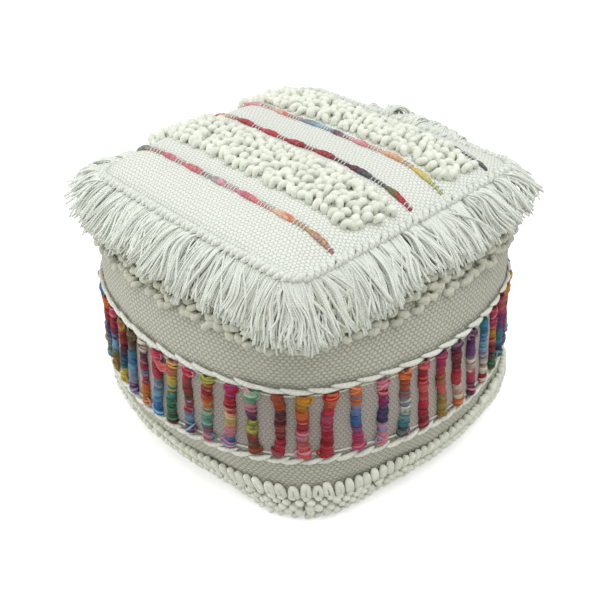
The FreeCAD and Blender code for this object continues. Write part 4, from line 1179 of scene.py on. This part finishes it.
class POUF_OT_wrapped_bars(bpy.types.Operator):
    """Make the upright bars wrapped in space-dyed yarn"""

    bl_idname = "pouf.wrapped_bars"
    bl_label = "Wrapped bars"

    def execute(self, context):
        size = sizes()
        finish = spun_wool("Wool yarn, space dyed and wrapped", ply=5.0, depth=0.22,
                           fleck=0.12, bloom=0.1)
        rng = np.random.default_rng(53)
        known = BAR_DYES["front"] + BAR_DYES["right"]
        for side, middle in SIDE_SHARES.items():
            words = BAR_DYES.get(side)
            if not words:
                words = [known[i] for i in rng.permutation(len(known))[:BAR_COUNT]]
            yarns = Yarns()
            shares = middle + ((np.arange(len(words)) + 0.5) / len(words) - 0.5) / 4
            shares = shares + 0.25 / len(words) * np.interp(shares % 1, *BAR_DRIFT)
            for share, word in zip(shares, words):
                self.bar(yarns, rng, share, word, size)
            if side == LINKED_SIDE:
                self.link(yarns, rng, *shares[LINKED_BAR:LINKED_BAR + 2])
            yarns.piece("bars_" + side, finish, "dyed_yarn", "wrapped_bars_" + side)
        return {"FINISHED"}

    def bar(self, yarns, rng, share, words, size):
        """Lay one bar: its core, the yarn wound round it and the knots at its ends."""
        low, high = LOWER_CHAIN + BAR_CLEAR[0], UPPER_CHAIN - BAR_CLEAR[1]
        turns = (high - low) / size["wrap_pitch"]
        steps = int(turns * 11)
        t = np.linspace(0, 1, steps)
        lean, bow, phase = rng.normal(0, 1.6), rng.normal(0, 1.8), rng.uniform(0, 6)
        wander = lean * (t - 0.5) * 2 + bow * np.sin(math.pi * t) + 0.8 * np.sin(t * 11 + phase)
        thick = size["bar_width"] / 2 * rng.uniform(0.9, 1.08)
        yarn = size["wrap_pitch"] * 0.58
        girth = thick - yarn + 0.5 * np.sin(t * 17 + phase) + 0.35 * np.sin(t * 41)
        knot = np.exp(-((1 - t) / 0.07) ** 2) + 0.8 * np.exp(-(t / 0.07) ** 2)
        girth = girth + 1.1 * knot
        axis, normal, around = on_wall(np.full(steps, share), low + (high - low) * t, thick * 0.28)
        axis = axis + around * wander[:, None]
        up = np.cross(normal, around)
        angle = t * turns * FULL_TURN
        turn = (t * turns).astype(int)
        count = int(turns) + 2
        slant = np.interp(t * turns, np.arange(count), rng.normal(0, 1.0, count))
        loose = np.interp(t * turns, np.arange(count), rng.normal(0, 0.35, count))
        reach = girth + loose
        path = (axis + around * (reach * np.cos(angle))[:, None]
                + normal * (BAR_FLAT * reach * np.sin(angle))[:, None]
                + up * (slant * np.sin(angle + phase))[:, None])
        jump = rng.normal(0, 0.06, count)[turn] + rng.normal(0, 0.025, steps)
        glow = rng.uniform(0.5, 1.0, count)[turn] * rng.uniform(0.82, 1.1, steps)
        pale = (rng.uniform(0, 0.28, count)[turn] ** 2 + 0.08 * rng.random(steps) ** 3)[:, None]
        dye = dye_run(words, 1 - t + jump) * glow[:, None] * (1 - pale) + pale * 0.5
        yarns.lay(path, yarn, up, dye)
        few = slice(None, None, 12)
        # The core shows only between the turns; its colour, at 0.6 of the dye, is painted shade for
        # the shadow there.
        yarns.lay(axis[few], girth[few], normal[few], dye[few] * 0.6, sides=10, flat=BAR_FLAT)
        self.knots(yarns, rng, axis, normal, around, up, thick, words)

    def link(self, yarns, rng, first, second):
        """Lay the yarn that loops from the top of one bar to the next."""
        t = np.linspace(0, 1, 17)
        for _ in range(6):
            sag = rng.uniform(4, 14)
            height = UPPER_CHAIN - 14 - sag * np.sin(math.pi * t) + rng.normal(0, 1.5)
            share = first + (second - first) * t
            path, normal = on_wall(share, height, 7.5 + rng.normal(0, 1.2))[:2]
            dye = linear(DYES[LINK_DYE]) * rng.uniform(0.7, 1.0) + 0.14 * rng.random()
            yarns.lay(path, 1.6, normal, dye)

    def knots(self, yarns, rng, axis, normal, around, up, thick, words):
        """Lay the knots over a bar's ends, and the loose loops some of them have."""
        dyes = dyes_of(words)
        t = np.linspace(0, 1, 13)
        for end, near, loops in ((-1, dyes[:2], 5), (0, dyes[-2:], 4)):
            spot, out, along, rise = axis[end], normal[end], around[end], up[end]
            down = -1.0 if end else 1.0
            for _ in range(loops):
                turn = (t - 0.5) * 3.6 + rng.normal(0, 0.3)
                drop = rise * down * rng.uniform(0, 8)
                tilt = rng.normal(0, 0.6)
                dye = near[int(rng.integers(len(near)))] * rng.uniform(0.75, 1.0)
                dye = dye + 0.2 * rng.random() ** 2
                reach = thick * rng.uniform(0.8, 1.12)
                path = (spot + drop + along * (reach * np.sin(turn))[:, None]
                        + out * (reach * 0.72 * np.cos(turn))[:, None]
                        + rise * (tilt * 4 * np.sin(turn))[:, None])
                radius = rng.uniform(1.2, 1.7) * (0.6 + 0.4 * np.sin(math.pi * t))
                yarns.lay(path, radius, rise, dye)
            if rng.random() < 0.75:
                way = rng.choice((-1.0, 1.0))
                turn = t * math.pi
                wide, tall = rng.uniform(4, 8), rng.uniform(3, 6)
                aside = way * (thick * 0.6 + wide * np.sin(turn))
                path = (spot + out * 1.5 + along * aside[:, None]
                        + rise * (down * 5 + tall * np.cos(turn))[:, None])
                radius = 1.4 * (0.7 + 0.3 * np.sin(turn))
                yarns.lay(path, radius, out, dye)


class POUF_OT_base(bpy.types.Operator):
    """Make the two canvas halves of the base, either side of the zip"""

    bl_idname = "pouf.base"
    bl_label = "Base canvas"

    def execute(self, context):
        finish = plain_cloth("Cotton canvas, plain woven", shades()["canvas"], pitch=1.6)
        rows = 40
        for half, way in (("front", -1.0), ("rear", 1.0)):
            node = "base_panel_" + half
            low, high = np.array(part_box(node)) / MM
            seam = high[1] if way < 0 else low[1]
            share = way * -0.25 + 0.5 + np.linspace(-0.25, 0.25, 181)
            rim = ring_point(share, np.zeros(share.size))[0][:, :2]
            rim = rim * (high[0] / np.abs(rim[:, 0]).max())
            rim = rim[np.argsort(rim[:, 0])]
            # The cut: half the base's outline, less the slot, and cloth for the hem's two folds.
            ends = np.array([-SLOT_LONG, SLOT_LONG])
            cut = np.column_stack([ends, np.interp(ends, rim[:, 0], rim[:, 1])])
            rim = np.concatenate([rim[rim[:, 1] * way > SLOT_WIDE + 2], cut])
            x, y = rim[np.argsort(rim[:, 0])].T
            edge = SLOT_WIDE * way
            depth = edge + (y - edge)[:, None] * np.linspace(0, 1, rows)
            points = xyz(x[:, None], depth, 0).reshape(-1, 3)
            puff = 0.21 * np.sin(points[:, 0] / 19) * np.sin(points[:, 1] / 23)
            points[:, 2] = low[2] + CANVAS + puff * smooth_step(np.abs(points[:, 1]) / 40 - 0.4)
            index = np.arange(len(points)).reshape(-1, rows)
            # The hem turns up beside the slot and back over itself; past the slot's ends the
            # halves meet.
            hem = np.array([(0, 3.0), (0, 5.6), (0.2, 6.9), (1.0, HEM_HIGH), (4.0, HEM_HIGH),
                            (HEM_WIDE - 0.4, HEM_HIGH)]) + (SLOT_WIDE, 0)
            flap = np.column_stack([np.linspace(SLOT_WIDE, seam * way, 7)[1:], np.full(6, CANVAS)])
            parts = [index]
            for wanted, fold in ((np.abs(x) <= SLOT_LONG, hem), (x >= SLOT_LONG, flap),
                                 (x <= -SLOT_LONG, flap)):
                more = xyz(x[wanted, None], fold[:, 0] * way, low[2] + fold[:, 1])
                new = len(points) + np.arange(more.size // 3).reshape(-1, len(fold))
                points = np.concatenate([points, more.reshape(-1, 3)])
                parts.append(np.concatenate([new[:, ::-1], index[wanted, :1]], axis=1))
            faces = np.concatenate([
                np.stack([i[:-1, :-1], i[1:, :-1], i[1:, 1:], i[:-1, 1:]], -1).reshape(-1, 4)
                for i in parts])
            faces = [faces[:, ::-1] if way > 0 else faces]
            mesh = mesh_from("base_canvas_" + half, points, faces)
            canvas = piece("base_canvas_" + half, mesh, finish, "base_canvas", node)
            thicken(canvas, CANVAS, offset=0.0)
        return {"FINISHED"}


class POUF_OT_zip(bpy.types.Operator):
    """Finish the zip's tape, teeth, stops, slider, pin and pull"""

    bl_idname = "pouf.zip"
    bl_label = "Zip"

    def execute(self, context):
        colours = shades()
        tape = plain_cloth("Cotton tape, twill woven", colours["tape"], pitch=1.2, roughness=0.85)
        teeth = moulded_nylon("Nylon, moulded zip teeth", colours["teeth"])
        brass = cast_brass("Brass, die cast and brushed", colours["brass"])
        rows = (
            (tape, "zip_tape_front zip_tape_rear"),
            (teeth, "zip_teeth_front zip_teeth_rear"),
            (brass, "zip_stop_open zip_stop_closed zip_slider zip_pivot_pin zip_pull"),
        )
        for finish, names in rows:
            for name in names.split():
                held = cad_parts[name].data.materials
                held.clear()
                held.append(finish)
        return {"FINISHED"}


class POUF_OT_stage(bpy.types.Operator):
    """Make the pale floor, the soft studio light and the camera"""

    bl_idname = "pouf.stage"
    bl_label = "Stage"

    def execute(self, context):
        scene = context.scene
        scene.view_settings.view_transform = "Standard"
        self.floor(scene)
        self.lights(scene)
        self.camera(scene)
        return {"FINISHED"}

    def floor(self, scene):
        """Lay a wide pale floor that shows white and keeps the shadow."""
        half = 6.0
        mesh = bpy.data.meshes.new("floor")
        mesh.from_pydata([(-half, -half, 0), (half, -half, 0), (half, half, 0), (-half, half, 0)],
                         [], [(0, 1, 2, 3)])
        floor = bpy.data.objects.new("floor", mesh)
        floor.location.z = -0.3 * MM
        scene.collection.objects.link(floor)
        finish, tree = new_finish("Paper backdrop, matt white")
        light = add_node(tree, "LightPath")
        seen = light.outputs["Is Camera Ray"]
        for ray in ("Is Glossy Ray", "Is Transmission Ray"):
            seen = add_node(tree, "Math", (seen, light.outputs[ray]), operation="MAXIMUM")
        grey = add_node(tree, "BsdfDiffuse", {"Color": (0.84, 0.83, 0.78, 1)})
        paper = add_node(tree, "BsdfDiffuse", {"Color": (0.9, 0.9, 0.9, 1)})
        glow = add_node(tree, "Emission", {"Strength": 0.45})
        white = add_node(tree, "AddShader", (paper, glow))
        both = add_node(tree, "MixShader", (seen, grey, white))
        add_node(tree, "OutputMaterial", (both,))
        mesh.materials.append(finish)

    def lights(self, scene):
        """Hang a wide soft lamp overhead, weaker ones in front and at both sides, and a low sky."""
        # Each lamp's place, what it points at, its width in metres and its power in watts.
        rows = (
            ("overhead", (0.4, 0.0, 2.3), (0, 0, 0.2), 2.4, 36.0),
            ("fill", (-0.2, -2.4, 1.4), (0, 0, 0.2), 1.5, 3.0),
            ("left", (-1.8, -1.6, 0.5), (0, 0, 0.1), 1.0, 21.0),
            ("right", (2.0, 1.4, 0.5), (0, 0, 0.2), 1.0, 5.0),
        )
        for name, place, aim, width, power in rows:
            lamp = bpy.data.lights.new(name, "AREA")
            lamp.size = width
            lamp.energy = power
            made = bpy.data.objects.new(name, lamp)
            back = unit(np.array(place) - np.array(aim))
            right = unit(np.cross((0.02, 1.0, 0.01), back))
            self.stand(scene, made, right, np.cross(back, right), back, place)
        scene.world = scene.world or bpy.data.worlds.new("studio")
        tree = cleared(scene.world)
        air, white = (add_node(tree, "Background", {"Color": (1, 1, 1, 1), "Strength": strength})
                      for strength in (0.5, 1.0))
        seen = add_node(tree, "LightPath").outputs["Is Camera Ray"]
        both = add_node(tree, "MixShader", (seen, air, white))
        add_node(tree, "OutputWorld", (both,))

    def camera(self, scene):
        """Stand the camera where the photograph was taken from, as fitted to its outline."""
        azimuth, elevation, roll = math.radians(47.67), math.radians(33.49), math.radians(-1.155)
        distance, target = 1.4528, np.array([0.0, 0.0, 0.1802])
        back = np.array([math.sin(azimuth) * math.cos(elevation),
                         -math.cos(azimuth) * math.cos(elevation), math.sin(elevation)])
        right = np.array([math.cos(azimuth), math.sin(azimuth), 0.0])
        up = np.cross(back, right)
        right, up = (right * math.cos(roll) + up * math.sin(roll),
                     up * math.cos(roll) - right * math.sin(roll))
        lens = bpy.data.cameras.new("camera")
        lens.sensor_width = 36.0
        lens.lens = 60.92
        lens.shift_x, lens.shift_y = -0.0113, -0.0287
        lens.clip_start, lens.clip_end = 0.05, 50.0
        made = bpy.data.objects.new("camera", lens)
        self.stand(scene, made, right, up, back, target + back * distance)
        scene.camera = made

    def stand(self, scene, made, right, up, back, place):
        """Stand a lamp or a camera in the scene at a place, turned as asked."""
        turn = np.eye(4)
        turn[:3] = np.column_stack([right, up, back, place])
        made.matrix_world = Matrix(turn.tolist())
        scene.collection.objects.link(made)


OPERATORS = (
    POUF_OT_inner_cushion,
    POUF_OT_wall_cloth,
    POUF_OT_top_cloth,
    POUF_OT_top_loops,
    POUF_OT_wall_loops,
    POUF_OT_stripes,
    POUF_OT_edge_heading,
    POUF_OT_fringe,
    POUF_OT_chain_rows,
    POUF_OT_wrapped_bars,
    POUF_OT_base,
    POUF_OT_zip,
    POUF_OT_stage,
)


class POUF_PT_sidebar(bpy.types.Panel):
    """The pouf's sizes, colours and pieces in the sidebar"""

    bl_idname = "POUF_PT_sidebar"
    bl_label = "Pouf"
    bl_space_type = "VIEW_3D"
    bl_region_type = "UI"
    bl_category = "Pouf"

    def draw(self, context):
        layout = self.layout
        scene = context.scene
        for group, kind in ((scene.pouf_sizes, PoufSizes), (scene.pouf_colours, PoufColours)):
            box = layout.box()
            for key in kind.__annotations__:
                box.prop(group, key)
        for operator in OPERATORS:
            layout.operator(operator.bl_idname)


CLASSES = (PoufSizes, PoufColours, *OPERATORS, POUF_PT_sidebar)


def register():
    for each in CLASSES:
        bpy.utils.register_class(each)
    bpy.types.Scene.pouf_sizes = PointerProperty(type=PoufSizes)
    bpy.types.Scene.pouf_colours = PointerProperty(type=PoufColours)


def unregister():
    del bpy.types.Scene.pouf_colours
    del bpy.types.Scene.pouf_sizes
    for each in reversed(CLASSES):
        bpy.utils.unregister_class(each)


def main():
    register()
    for operator in OPERATORS:
        family, name = operator.bl_idname.split(".")
        getattr(getattr(bpy.ops, family), name)()


if __name__ == "__main__":
    main()
